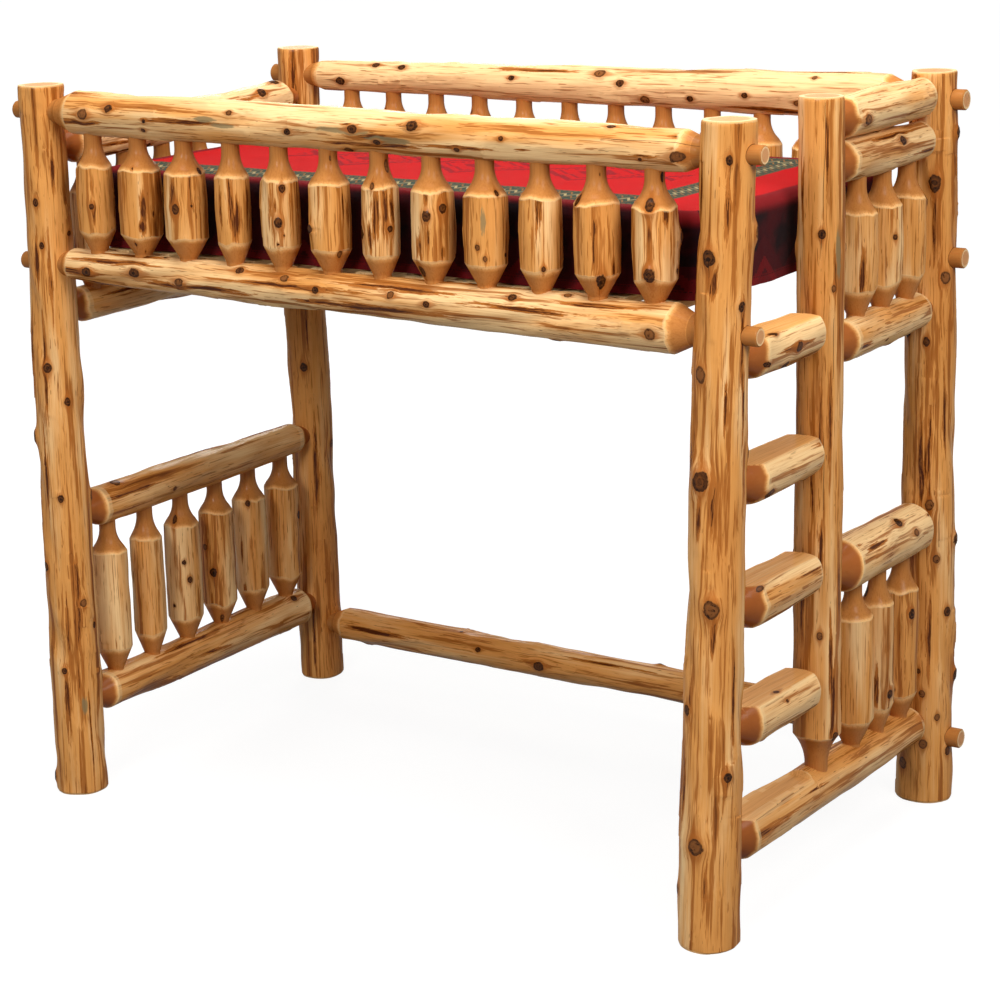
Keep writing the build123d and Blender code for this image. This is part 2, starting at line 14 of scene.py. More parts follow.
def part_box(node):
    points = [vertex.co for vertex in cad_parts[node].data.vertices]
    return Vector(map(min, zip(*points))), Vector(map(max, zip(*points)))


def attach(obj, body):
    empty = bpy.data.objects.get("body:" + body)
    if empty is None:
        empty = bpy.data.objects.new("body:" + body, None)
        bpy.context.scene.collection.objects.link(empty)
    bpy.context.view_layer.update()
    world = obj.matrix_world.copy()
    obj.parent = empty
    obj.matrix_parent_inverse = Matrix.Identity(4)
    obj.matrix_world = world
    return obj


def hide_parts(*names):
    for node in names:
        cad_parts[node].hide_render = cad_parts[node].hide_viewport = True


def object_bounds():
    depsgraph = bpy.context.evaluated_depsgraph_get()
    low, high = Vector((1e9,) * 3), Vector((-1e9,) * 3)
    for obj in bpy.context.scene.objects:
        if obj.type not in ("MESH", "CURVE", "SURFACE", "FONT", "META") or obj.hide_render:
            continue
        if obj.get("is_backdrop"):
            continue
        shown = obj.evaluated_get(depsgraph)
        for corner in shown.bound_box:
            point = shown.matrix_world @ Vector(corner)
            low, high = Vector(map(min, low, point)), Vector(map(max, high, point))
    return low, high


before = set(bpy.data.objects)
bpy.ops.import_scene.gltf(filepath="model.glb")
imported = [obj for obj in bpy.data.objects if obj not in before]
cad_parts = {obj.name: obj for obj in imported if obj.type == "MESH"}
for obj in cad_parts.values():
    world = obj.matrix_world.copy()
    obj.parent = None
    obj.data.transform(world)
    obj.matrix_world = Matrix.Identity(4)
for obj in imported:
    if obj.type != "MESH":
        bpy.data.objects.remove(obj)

# Looks of a twin loft bed of peeled cedar logs. Metres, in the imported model's own frame:
# +X runs along the bed to the ladder end, +Y from the front to the back, +Z up.

report = logging.getLogger("log_bed")
Rgb = tuple[float, float, float]
TURN = 2 * math.pi
MM = 0.001
Array = np.ndarray
Rows = list[tuple[float, ...]]
Rings = list[tuple[float, float]]  # (distance along the axis, radius)


class Body(Enum):
    """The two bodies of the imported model."""

    FRAME = "bed_frame"
    BEDDING = "bedding"


class Slot(Enum):
    """The record's material slots that new pieces take their finish from."""

    CEDAR = "peeled_cedar"
    TICKING = "mattress_ticking"
    CLOTH = "bedspread_cloth"


# Where single logs differ from their neighbours. Distances run in metres along a log from its left,
# front or lower end. Degrees start at the top of a lying log and at the front of a standing one.
# knots: distance, degrees, radius and rise in millimetres; stains and barks: distance, degrees,
# half length, half width; cracks: from, to, degrees.
MARKS: dict[str, dict[str, Rows]] = {
    "front_right_post": {
        "knots": [
            (1.921, 31, 9, 2), (1.751, 118, 17, 9), (1.698, -5, 15, 5), (1.589, 67, 9, 3), (1.429, -16, 14, 3),
            (1.178, -6, 19, 5), (0.873, 21, 17, 5), (0.609, -32, 10, 2), (0.455, 57, 9, 2), (0.274, 1, 16, 4),
            (0.143, -52, 9, 2),
        ],
        "barks": [
            (1.81, 31, 0.11, 0.011), (1.84, -38, 0.16, 0.009), (1.64, 4, 0.05, 0.016), (1.50, 74, 0.16, 0.008),
            (1.36, 40, 0.12, 0.006), (1.08, -10, 0.08, 0.010), (0.80, 25, 0.07, 0.010), (0.66, 70, 0.2, 0.007),
            (0.42, -35, 0.18, 0.008), (0.18, 20, 0.1, 0.007),
        ],
    },
    "front_left_post": {
        "knots": [
            (1.696, 13, 9, 2), (1.579, 22, 7, 1), (1.243, 18, 11, 3), (1.146, 63, 9, 2), (1.041, -46, 14, 8),
            (0.874, 33, 8, 2), (0.673, -21, 10, 2), (0.571, 69, 9, 2), (0.041, -46, 11, 5),
        ],
        "stains": [(0.265, 60, 0.045, 0.015)],
        "barks": [(1.5, 40, 0.2, 0.008), (0.95, 0, 0.22, 0.009), (0.5, 30, 0.16, 0.007), (1.78, 60, 0.12, 0.008)],
    },
    "back_left_post": {
        "knots": [(1.021, 24, 11, 3), (1.391, 45, 8, 2)],
        "barks": [(1.94, 20, 0.14, 0.02), (1.2, 40, 0.2, 0.009)],
        "cracks": [(1.84, 2.0, 26)],
    },
    "back_right_post": {
        "knots": [
            (1.847, 91, 12, 7), (1.720, 29, 16, 4), (1.468, 58, 13, 3), (1.299, 15, 9, 2), (0.853, 26, 11, 2),
            (0.749, 94, 12, 7), (0.701, 43, 9, 2), (0.549, 72, 10, 2), (0.354, 114, 13, 7), (0.319, 16, 8, 1),
            (0.174, 19, 10, 2), (0.146, 76, 10, 2),
        ],
        "barks": [(1.60, 30, 0.2, 0.009), (1.1, 60, 0.22, 0.009), (0.5, 30, 0.2, 0.008), (0.9, 10, 0.15, 0.008)],
    },
    "ladder_post": {
        "knots": [(1.409, 28, 9, 2), (1.368, 116, 7, 2), (1.275, 60, 7, 1), (0.395, 32, 8, 2)],
        "stains": [(1.36, 74, 0.13, 0.013)],
        "barks": [(1.62, 40, 0.16, 0.008), (1.30, 64, 0.12, 0.007), (0.9, 30, 0.2, 0.008), (0.35, 60, 0.15, 0.008)],
        "cracks": [(1.46, 1.72, 33), (0.72, 0.9, 38), (1.05, 1.2, 62)],
    },
    "front_guard_rail": {
        "knots": [
            (0.376, 66, 10, 3), (0.775, 57, 7, 1), (0.966, 96, 8, 2), (1.882, 21, 9, 2), (2.073, 101, 14, 3),
            (1.235, 112, 8, 2), (0.500, 92, 5, 1), (0.49, 118, 6, 1), (1.60, 80, 6, 1), (1.47, 118, 7, 1),
        ],
        "stains": [
            (0.70, 78, 0.06, 0.011), (0.76, 92, 0.07, 0.009), (1.13, 84, 0.13, 0.012), (1.27, 104, 0.11, 0.016),
        ],
        "barks": [(1.15, 70, 0.05, 0.004), (1.66, 108, 0.05, 0.006), (1.98, 104, 0.06, 0.006)],
        "cracks": [(1.90, 2.16, 62)],
    },
    "front_bed_rail": {
        "knots": [
            (0.433, 85, 13, 3), (0.587, 99, 11, 3), (1.037, 78, 9, 2), (2.011, 96, 11, 2), (1.762, 16, 8, 2),
            (0.93, 52, 10, 3), (0.78, 40, 10, 3), (1.38, 84, 8, 2), (1.27, 70, 9, 2), (1.62, 44, 9, 2),
        ],
        "barks": [
            (0.35, 56, 0.26, 0.012), (0.95, 74, 0.30, 0.010), (1.30, 50, 0.24, 0.013), (1.66, 70, 0.22, 0.012),
            (0.62, 112, 0.28, 0.014), (1.2, 112, 0.35, 0.013), (1.85, 40, 0.18, 0.011), (0.2, 100, 0.2, 0.016),
        ],
    },
    "front_spindle_01": {"knots": [(0.154, 27, 7, 2)], "barks": [(0.21, 27, 0.06, 0.004)]},
    "front_spindle_02": {
        "knots": [(0.262, 20, 4, 0), (0.04, 50, 4, 0)],
        "barks": [(0.16, 46, 0.075, 0.014), (0.11, 40, 0.03, 0.018), (0.14, 75, 0.02, 0.004)],
    },
    "front_spindle_03": {"knots": [(0.173, 55, 4, 1)], "barks": [(0.2, 3, 0.08, 0.014)], "cracks": [(0.18, 0.24, 54)]},
    "front_spindle_04": {
        "barks": [
            (0.19, 31, 0.11, 0.013), (0.17, -4, 0.09, 0.006), (0.15, 55, 0.07, 0.009), (0.18, 90, 0.1, 0.008),
        ],
    },
    "front_spindle_05": {
        "knots": [(0.234, 44, 8, 2), (0.115, 44, 3, 0), (0.093, 26, 4, 0)],
        "barks": [(0.21, 70, 0.05, 0.004), (0.19, 20, 0.03, 0.005)],
    },
    "front_spindle_06": {"knots": [(0.14, -25, 9, 6)], "barks": [(0.2, 75, 0.07, 0.005), (0.17, 90, 0.06, 0.006)]},
    "front_spindle_07": {
        "knots": [(0.256, 9, 7, 2), (0.15, 62, 7, 2)],
        "barks": [
            (0.19, 20, 0.1, 0.016), (0.19, 50, 0.1, 0.012), (0.19, 75, 0.1, 0.01), (0.13, 0, 0.06, 0.01),
        ],
    },
    "front_spindle_08": {
        "knots": [(0.194, 19, 10, 4)],
        "barks": [
            (0.25, 17, 0.05, 0.01), (0.14, 20, 0.05, 0.009), (0.12, -10, 0.05, 0.01), (0.105, 61, 0.03, 0.008),
        ],
    },
    "front_spindle_09": {
        "knots": [(0.257, 69, 6, 1), (0.129, 9, 6, 1), (0.106, 93, 5, 1)],
        "stains": [(0.19, 26, 0.06, 0.012)],
    },
    "front_spindle_10": {"knots": [(0.089, 38, 6, 3)], "barks": [(0.2, 25, 0.08, 0.004), (0.16, 10, 0.05, 0.004)]},
    "front_spindle_11": {
        "knots": [(0.259, -35, 10, 7), (0.318, 50, 4, 0)],
        "barks": [(0.18, 20, 0.09, 0.003), (0.18, 50, 0.08, 0.003)],
    },
    "front_spindle_12": {
        "knots": [(0.26, 16, 13, 6), (0.1, 16, 13, 5), (0.182, 112, 11, 7)],
        "barks": [(0.18, 16, 0.07, 0.009), (0.24, 57, 0.04, 0.012)],
    },
    "back_guard_rail": {"knots": [(1.342, 121, 11, 3), (1.487, 111, 8, 2), (1.659, 95, 8, 2), (1.814, 112, 8, 2)]},
    "right_second_guard_rail": {"knots": [(0.337, 62, 12, 3)]},
    "rung_4": {"knots": [(0.233, 95, 12, 3), (0.084, 112, 8, 2)]},
}


# ------------------------------------------------------------------ shader building
def maths(operation: str, flipped: bool = False) -> Callable[..., "Signal"]:
    """A method that adds one Math node.

    Args:
        operation: The node's operation.
        flipped: Whether the signal itself comes after the other term.

    Returns:
        The method.
    """

    def method(self: "Signal", *others: "Signal | float") -> "Signal":
        """Add the node over the signal and the other terms."""
        terms = (*others, self) if flipped else (self, *others)
        return self.paint.node("ShaderNodeMath", {"operation": operation}, dict(enumerate(terms)))

    return method


class Signal:
    """A shader socket on which Python arithmetic adds Math nodes."""

    def __init__(self, paint: "Paint", socket: NodeSocket) -> None:
        """Keep the socket and the material it belongs to."""
        self.paint, self.socket = paint, socket

    __add__ = __radd__ = maths("ADD")
    __mul__ = __rmul__ = maths("MULTIPLY")
    __sub__, __rsub__ = maths("SUBTRACT"), maths("SUBTRACT", flipped=True)
    __truediv__, __abs__, wave = maths("DIVIDE"), maths("ABSOLUTE"), maths("SINE")
    least, most = maths("MINIMUM"), maths("MAXIMUM")
    above = maths("GREATER_THAN")  # 1 where the value is above a level
    snap = maths("SNAP")  # rounded down to a whole count of steps
    fold = maths("PINGPONG")  # up to a height and back down, over and over

    def zigzag(self, period: float) -> "Signal":
        """A triangle wave from 0 to 1 and back over each period."""
        return (self * (2 / period)).fold(1.0)

    def rise(self, low: float, high: float) -> "Signal":
        """0 below low, 1 above high and smooth between; low may be the larger.

        Args:
            low: Where the value leaves 0.
            high: Where it reaches 1.

        Returns:
            The smooth step.
        """
        return self.paint.node(
            "ShaderNodeMapRange", {"interpolation_type": "SMOOTHSTEP"}, {0: self, 1: low, 2: high}
        )

    def band(self, low: float, high: float, soft: float) -> "Signal":
        """1 between low and high, with soft edges."""
        return self.rise(low - soft, low) * self.rise(high + soft, high)


def linear(colour: Rgb) -> tuple[float, float, float, float]:
    """Shader value of a colour given as it looks on screen, each part from 0 to 255."""
    return (*(((c / 255 + 0.055) / 1.055) ** 2.4 if c > 10 else c / 3295 for c in colour), 1.0)


class Paint:
    """The nodes of one procedural material, or of another tree of shader nodes."""

    def __init__(self, name: str, tree: NodeTree | None = None) -> None:
        """Start a material that holds one Principled shader, unless a tree is given.

        Args:
            name: Name of the material.
            tree: The nodes of a world, say.
        """
        if tree is None:
            self.material = bpy.data.materials.new(name)
            self.material.use_nodes = True
            tree = self.material.node_tree
            self.shader = tree.nodes["Principled BSDF"]
        self.tree = tree

    def node(
        self, kind: str, settings: dict | None = None, sockets: dict | None = None, out: int = 0
    ) -> Signal:
        """Add a node.

        Args:
            kind: Blender's name of the node type.
            settings: The node's properties, set first.
            sockets: Values or signals of the input sockets, by name or number.
            out: Which output to return.

        Returns:
            The chosen output.
        """
        made = self.tree.nodes.new(kind)
        for key, value in (settings or {}).items():
            setattr(made, key, value)
        self.feed(made, sockets or {})
        return Signal(self, made.outputs[out])

    def feed(self, node: Node, sockets: dict) -> None:
        """Set or wire a node's input sockets, by name or number.

        Args:
            node: The node.
            sockets: Values or signals by name or number.
        """
        for key, value in sockets.items():
            if isinstance(value, Signal):
                self.tree.links.new(value.socket, node.inputs[key])
            else:
                node.inputs[key].default_value = value

    def mark(self, name: str) -> Signal:
        """A number that the piece's mesh carries."""
        return self.node("ShaderNodeAttribute", {"attribute_name": name}, out=2)

    def place(self, name: str) -> Signal:
        """A vector that the piece's mesh carries."""
        return self.node("ShaderNodeAttribute", {"attribute_name": name}, out=1)

    def spot(self) -> Signal:
        """The place on the object."""
        return self.node("ShaderNodeTexCoord", out=3)

    def part(self, place: Signal, axis: int) -> Signal:
        """One of the three numbers of a place."""
        return self.node("ShaderNodeSeparateXYZ", None, {0: place}, out=axis)

    def stretched(self, place: Signal, scale: Sequence[float]) -> Signal:
        """A place vector scaled along each of its axes."""
        return self.node("ShaderNodeVectorMath", {"operation": "MULTIPLY"}, {0: place, 1: tuple(scale)})

    def noise(self, place: Signal, scale: Sequence[float], detail: float = 3.0, rough: float = 0.55) -> Signal:
        """Noise from 0 to 1, at so many cells to the metre along each axis.

        Args:
            place: Where the noise is read.
            scale: Cells to the metre along each axis.
            detail: Octaves on top of the first.
            rough: How strong they are.

        Returns:
            The noise.
        """
        return self.node(
            "ShaderNodeTexNoise",
            {"noise_dimensions": "3D"},
            {"Vector": self.stretched(place, scale), "Scale": 1.0, "Detail": detail, "Roughness": rough},
        )

    def mix(self, share: Signal | float, under: "Signal | Rgb", over: "Signal | Rgb") -> Signal:
        """Colour over another by a share from 0 to 1."""
        pair = [c if isinstance(c, Signal) else linear(c) for c in (under, over)]
        return self.node("ShaderNodeMix", {"data_type": "RGBA"}, {0: share, 6: pair[0], 7: pair[1]}, out=2)

    def layers(self, colour: "Signal | Rgb", *coats: "tuple[Signal, Signal | Rgb]") -> Signal:
        """A colour under coats of (share, colour), the last on top.

        Args:
            colour: What lies under all coats.
            coats: The share and colour of each.

        Returns:
            The colour seen from above.
        """
        for share, over in coats:
            colour = self.mix(share, colour, over)
        return colour

    def shade(self, colour: Signal, value: Signal) -> Signal:
        """A colour with its brightness multiplied by a number."""
        return self.node("ShaderNodeVectorMath", {"operation": "SCALE"}, {0: colour, "Scale": value})

    def seen(self) -> Signal:
        """1 for the rays that see the backdrop: the camera's, reflected and transmitted ones.

        Returns:
            1 for those rays and 0 for the ones that light the object.
        """
        ray = self.node("ShaderNodeLightPath")
        outputs = ray.socket.node.outputs
        for name in ("Is Glossy Ray", "Is Transmission Ray"):
            ray = ray.most(Signal(self, outputs[name]))
        return ray

    def finish(
        self,
        colour: Signal,
        roughness: Signal | float,
        height: Signal | None = None,
        relief: float = 0.0,
        **others: float,
    ) -> Material:
        """Wire the shader.

        Args:
            colour: Base colour.
            roughness: Roughness, the same all over or varying.
            height: Surface relief from 0 to 1.
            relief: Depth in metres that a height of 1 stands for.
            others: Other sockets of the shader by name, with _ for a space.

        Returns:
            The finished material.
        """
        sockets = {"Base Color": colour, "Roughness": roughness}
        if height:
            bump = {"Strength": 1.0, "Distance": relief, "Height": height}
            sockets["Normal"] = self.node("ShaderNodeBump", None, bump)
        sockets.update({key.replace("_", " "): value for key, value in others.items()})
        self.feed(self.shader, sockets)
        return self.material


# ------------------------------------------------------------------ finishes
@dataclass(frozen=True)
class PeeledCedar:
    """Drawknifed cedar under clear satin varnish: cream sapwood, brown streaks, planed joints and knots."""

    cream: Rgb = (250, 212, 156)
    honey: Rgb = (226, 160, 88)
    tan: Rgb = (194, 118, 48)
    streak: Rgb = (160, 92, 34)
    dark_streak: Rgb = (110, 58, 22)
    rim: Rgb = (250, 216, 160)
    sanded: Rgb = (246, 184, 112)
    planed: Rgb = (204, 138, 72)
    foot: Rgb = (166, 108, 54)
    heart: Rgb = (166, 94, 44)
    knot: Rgb = (92, 52, 22)
    pale_knot: Rgb = (134, 84, 44)
    knot_ring: Rgb = (34, 18, 8)
    knot_halo: Rgb = (172, 98, 38)
    bark: Rgb = (84, 40, 14)
    bark_edge: Rgb = (178, 108, 46)
    moss: Rgb = (134, 120, 86)
    # painted shade: the dark line round each socket, where another log's collar or tenon enters
    joint_shade: Rgb = (60, 30, 12)
    relief: float = 0.0012

    def material(self) -> Material:
        """Build the material of the logs' sides.

        Returns:
            The finished material.
        """
        paint = Paint("peeled_cedar")
        grain = paint.place("grain")
        depth, knot, kind, halo, tone = map(paint.mark, ("cut_depth", "knot", "knot_kind", "halo", "tone"))
        stain, joint_shade, crack, heart, bark = map(paint.mark, ("stain", "joint_shade", "crack", "heart", "bark"))

        broad = paint.noise(grain, (11, 11, 1.6), 2.0)
        lines = paint.noise(grain, (330, 330, 6), 3.0, 0.6)
        fibres = paint.noise(grain, (1100, 1100, 22), 2.0)
        long_streaks = paint.noise(grain, (46, 46, 1.5), 4.0, 0.62)
        wisps = paint.noise(grain, (120, 120, 4.5), 3.0, 0.6)
        dashes = paint.noise(grain, (190, 190, 12), 2.0, 0.5)
        flecks = paint.noise(grain, (210, 210, 26), 1.0)

        age = broad + tone * 0.5 - 0.25 + (long_streaks - 0.5) * 0.5
        peeled = depth.rise(0.6, -0.2)
        streaked = (long_streaks + tone * 0.05).rise(0.57, 0.64) * peeled
        shreds = paint.noise(grain, (240, 240, 8), 3.0, 0.6)
        strip = (bark + (paint.noise(grain, (150, 150, 8), 4.0, 0.7) - 0.5) * 2.0) * peeled
        patch = (stain + (paint.noise(grain, (60, 60, 12), 4.0, 0.7) - 0.5) * 1.3).rise(0.45, 0.7)
        colour = paint.layers(
            self.cream,
            (age.rise(0.32, 0.62), self.honey),
            (age.rise(0.58, 0.95) * 0.7, self.tan),
            (lines.rise(0.42, 0.75) * 0.4, self.tan),
            (streaked * 0.85, self.streak),
            ((long_streaks + tone * 0.04).rise(0.67, 0.71) * peeled * 0.8, self.dark_streak),
            (wisps.rise(0.58, 0.66) * 0.7 * peeled, self.streak),
            ((dashes + (broad - 0.5) * 0.4).rise(0.64, 0.7) * 0.8 * peeled, self.streak),
            (flecks.rise(0.74, 0.8) * 0.8, self.dark_streak),
            (strip.rise(0.36, 0.5), self.bark_edge),
            (strip.rise(0.62, 0.8) * shreds.rise(0.34, 0.5), self.bark),
            (patch * 0.8, self.moss),
        )

        deep = heart * depth.rise(2.0, 9.0) + (broad - 0.5) * 0.6 + (long_streaks - 0.5) * 0.4
        planed = paint.layers(
            self.sanded,
            (depth.rise(0.8, 8.0), self.planed),
            (deep.rise(0.0, 1.0), self.heart),
            (heart.rise(-0.05, -0.3) * 0.8, self.foot),
            (lines.rise(0.42, 0.72) * 0.35, self.heart),
            (wisps.rise(0.56, 0.7) * 0.3, self.streak),
        )
        ragged = depth + (wisps - 0.5) * 3.6 + (broad - 0.5) * 3.0
        colour = paint.layers(
            colour,
            (depth.rise(0.2, 1.0), planed),
            (ragged.band(-0.4, 2.4, 0.9) * heart.rise(-0.2, 0.1) * 0.35, self.rim),
            (ragged.band(-6.0, 1.2, 1.4) * heart.rise(0.55, 0.75) * 0.4, self.rim),
        )

        tail = (halo + (long_streaks + lines - 1.0) * 0.9).rise(0.35, 0.75)
        gnarl = paint.noise(grain, (260, 260, 130), 3.0, 0.65)
        swirl = knot + (paint.noise(grain, (75, 75, 45), 2.0) - 0.5) * 0.85 + (gnarl - 0.5) * 0.4
        heartwood = paint.mix(kind.rise(0.66, 0.84), self.knot, self.pale_knot)
        core = paint.mix((gnarl + kind * 0.12).rise(0.42, 0.6), self.knot_ring, heartwood)
        rings = (swirl * 17.0).wave().rise(-0.3, 0.9) * swirl.rise(1.0, 0.9)
        # seam is a painted shade line round each socket, where another log's collar or tenon enters this one
        seam = joint_shade.band(-0.5, 1.1, 0.7)
        split = abs(crack).rise(0.9, 0.35)
        colour = paint.layers(
            colour,
            (tail * 0.6, self.knot_halo),
            (swirl.rise(2.1, 0.95) * 0.55, self.knot_halo),
            (swirl.rise(1.06, 0.94), core),
            (rings * 0.16, self.knot_halo),
            (swirl.band(0.8, 1.0, 0.12) * 0.55, self.knot_ring),
            (swirl.rise(0.5, 0.25) * kind.rise(0.75, 0.35) * 0.8, self.knot_ring),
            (seam * 0.75, self.joint_shade),
            (split * 0.85, self.knot_ring),
        )

        height = lines * 0.22 + fibres * 0.1 + wisps * 0.12 * peeled - split * 0.9 - seam * 0.8
        height = height + swirl.band(0.84, 1.04, 0.1) * -0.35
        rough = 0.42 + lines * 0.16 + streaked * 0.08
        return paint.finish(
            colour, rough, height, self.relief, Coat_Weight=0.16, Coat_Roughness=0.2, Specular_IOR_Level=0.0
        )


@dataclass(frozen=True)
class CedarEnd:
    """Sawn ends: pale sapwood round a pink-brown heart, with growth rings and fine radial checks."""

    sapwood: Rgb = (250, 212, 156)
    heart: Rgb = (222, 158, 100)
    ring: Rgb = (172, 104, 54)
    check: Rgb = (96, 56, 30)

    def material(self) -> Material:
        """Build the material of the logs' ends.

        Returns:
            The finished material.
        """
        paint = Paint("cedar_end_grain")
        grain, rim = paint.place("grain"), paint.mark("rim")
        blot = paint.noise(grain, (40, 40, 40), 3.0)
        edge = rim + (blot - 0.5) * 0.12
        rings = (edge * 150.0).wave().rise(-0.2, 1.0)
        split = abs(paint.mark("check")).rise(1.0, 0.4)
        pores = paint.noise(grain, (700, 700, 700), 2.0)
        colour = paint.layers(
            self.sapwood,
            (edge.rise(0.86, 0.72), self.heart),
            (rings * 0.28, self.ring),
            (split * 0.8, self.check),
            (pores.rise(0.5, 0.8) * 0.35, self.ring),
        )
        return paint.finish(colour, 0.62, rings * 0.3 + pores * 0.3, 0.0006)


@dataclass(frozen=True)
class SawnPine:
    """Planed softwood boards of the deck."""

    pale: Rgb = (232, 203, 150)
    dark: Rgb = (196, 148, 88)
    knot: Rgb = (120, 76, 40)

    def material(self, name: str, along: tuple[float, float, float]) -> Material:
        """Build the material.

        Args:
            name: The material's name.
            along: Pattern cells to the metre on each axis, fewest along the grain.

        Returns:
            The finished material.
        """
        paint = Paint(name)
        place = paint.spot()
        warp = paint.noise(place, (3, 3, 3), 2.0)
        figure = paint.noise(place, along, 2.0) * 9.0 + warp * 3.0
        bands = (figure * 6.0).wave().rise(-0.6, 1.0)
        fibre = paint.noise(place, [a * 14 for a in along], 3.0)
        dots = paint.noise(place, (9, 9, 9), 0.0)
        colour = paint.layers(
            self.pale,
            (bands * 0.55, self.dark),
            (fibre.rise(0.45, 0.8) * 0.4, self.dark),
            (dots.rise(0.775, 0.8) * 0.8, self.knot),
        )
        return paint.finish(colour, 0.55 + fibre * 0.15, fibre * 0.5 + bands * 0.2, 0.0006)


@dataclass(frozen=True)
class ZincSteel:
    """Bright zinc-plated screws."""

    bright: Rgb = (206, 208, 210)
    dull: Rgb = (138, 140, 146)

    def material(self) -> Material:
        """Build the material.

        Returns:
            The finished material.
        """
        paint = Paint("screw_steel")
        place = paint.spot()
        spangle = paint.noise(place, (380, 380, 380), 3.0)
        colour = paint.mix(spangle, self.bright, self.dull)
        return paint.finish(colour, 0.25 + spangle * 0.25, spangle, 0.0001, Metallic=1.0)


@dataclass(frozen=True)
class WovenSpread:
    """A traditional red blanket weave: green border with a cream zigzag, dark stepped peaks down the sides."""

    half: tuple[float, float]
    overhang: float
    red: Rgb = (204, 16, 22)
    shade_red: Rgb = (172, 12, 18)
    deep_red: Rgb = (132, 22, 28)
    green: Rgb = (54, 72, 62)
    cream: Rgb = (184, 166, 120)
    gold: Rgb = (150, 104, 58)
    maroon: Rgb = (70, 14, 22)
    black: Rgb = (28, 13, 19)
    plum: Rgb = (56, 18, 36)
    inset: tuple[float, float] = (0.374, 0.25)  # from the hem to the border, at the ends and along the sides
    width: tuple[float, float] = (0.09, 0.14)  # of the border, at the ends and along the sides
    step: float = 0.006  # of the pattern's stepped edges
    rib: float = 0.0125  # the same in the border, as a share of its width

    def material(self) -> Material:
        """Build the material.

        Returns:
            The finished material.
        """
        paint = Paint("bedspread_cloth")
        flat = paint.node("ShaderNodeUVMap", {"uv_map": "flat"})
        along, across = paint.part(flat, 0), paint.part(flat, 1)
        in_x, in_y = self.half[0] - abs(along), self.half[1] - abs(across)
        hem = in_x.least(in_y)
        depths = (self.half[0] - along, in_y)  # the border crosses the cloth at its right end only
        over_x, over_y = ((place - self.inset[i]) / self.width[i] for i, place in enumerate(depths))
        inner, end = over_x.least(over_y), (over_y - over_x).above(0.0)
        run = along + (across - along) * end
        tuft = paint.noise(flat, (900, 900, 1), 2.0)
        blot = paint.noise(flat, (9, 9, 1), 3.0)
        slub = paint.noise(flat, (60, 700, 1), 2.0)
        step, rise, ribs = run.snap(self.step), hem.snap(self.step), inner.snap(self.rib)

        dull = ((blot.rise(0.35, 0.75) * 0.3, self.shade_red), (slub.rise(0.55, 0.8) * 0.35, self.shade_red))
        colour = paint.layers(self.red, *dull)
        colour = self._field(paint, along, across, colour)
        colour = self._border(paint, inner, ribs, run, colour)
        colour = self._sides(paint, hem + end * 0.03, rise, step, blot, colour)
        seam = (in_x.most(in_y) - self.overhang).rise(0.003, 0.0012) * (self.overhang - hem).above(0.0)
        stitch = abs(hem - 0.02).rise(0.0016, 0.0008) * run.zigzag(0.009).rise(0.3, 0.45)
        colour = paint.mix(seam.most(stitch) * 0.8, colour, self.black)

        weave = (along * 3900.0).wave() * (across * 3900.0).wave()
        creases = paint.noise(flat, (7, 16, 1), 3.0, 0.45) * 6.0
        height = weave * 0.35 + tuft * 0.6 + creases - seam * 1.6 - stitch * 1.0
        colour = paint.shade(colour, 0.87 + tuft * 0.24)
        gloss = {"Sheen_Weight": 0.02, "Sheen_Roughness": 0.5, "Specular_IOR_Level": 0.1}
        return paint.finish(colour, 0.86 + tuft * 0.1, height, 0.0009, **gloss)

    def _field(self, paint: Paint, along: Signal, across: Signal, colour: Signal) -> Signal:
        """Rows of broken dark diamonds down the middle of the top.

        Args:
            paint: The cloth's nodes.
            along: Place along the bed.
            across: Place across it.
            colour: The ground colour.

        Returns:
            The colour with the diamonds on it.
        """
        x, y = along.snap(self.step * 2), abs(across).snap(self.step)
        lozenge = y + x.zigzag(0.36) * 0.15
        dashes = (across * 520.0).wave().above(-0.2)
        inside = abs(along).rise(self.half[0] - self.inset[0] - 0.16, self.half[0] - self.inset[0] - 0.162)
        lines = lozenge.band(0.128, 0.15, 0.0004).most(lozenge.band(0.094, 0.102, 0.0004))
        core = lozenge.rise(0.0502, 0.0498)
        return paint.mix(lines.most(core) * dashes * inside * 0.9, colour, self.plum)

    def _border(self, paint: Paint, inner: Signal, ribs: Signal, run: Signal, colour: Signal) -> Signal:
        """A green band that carries a cream zigzag between two fine lines.

        Args:
            paint: The cloth's nodes.
            inner: Place across the band, from 0 to 1.
            ribs: The same in steps.
            run: Place along the band.
            colour: The colour under it.

        Returns:
            The colour with the border on it.
        """
        band = inner.band(0.0, 1.0, 0.01)
        colour = paint.mix(band, colour, self.green)
        for shift, width, tint in ((0.0, 0.045, self.cream), (0.22, 0.03, self.gold), (-0.22, 0.03, self.gold)):
            away = abs(ribs - 0.5 - shift - (run.zigzag(0.036) - 0.5) * 0.22)
            colour = paint.mix(away.rise(width + 0.012, width - 0.012) * band, colour, tint)
        for place in (0.07, 0.93):
            line = abs(inner - place).rise(0.028, 0.014) * run.zigzag(0.016).above(0.3)
            colour = paint.mix(line, colour, self.gold)
        return colour

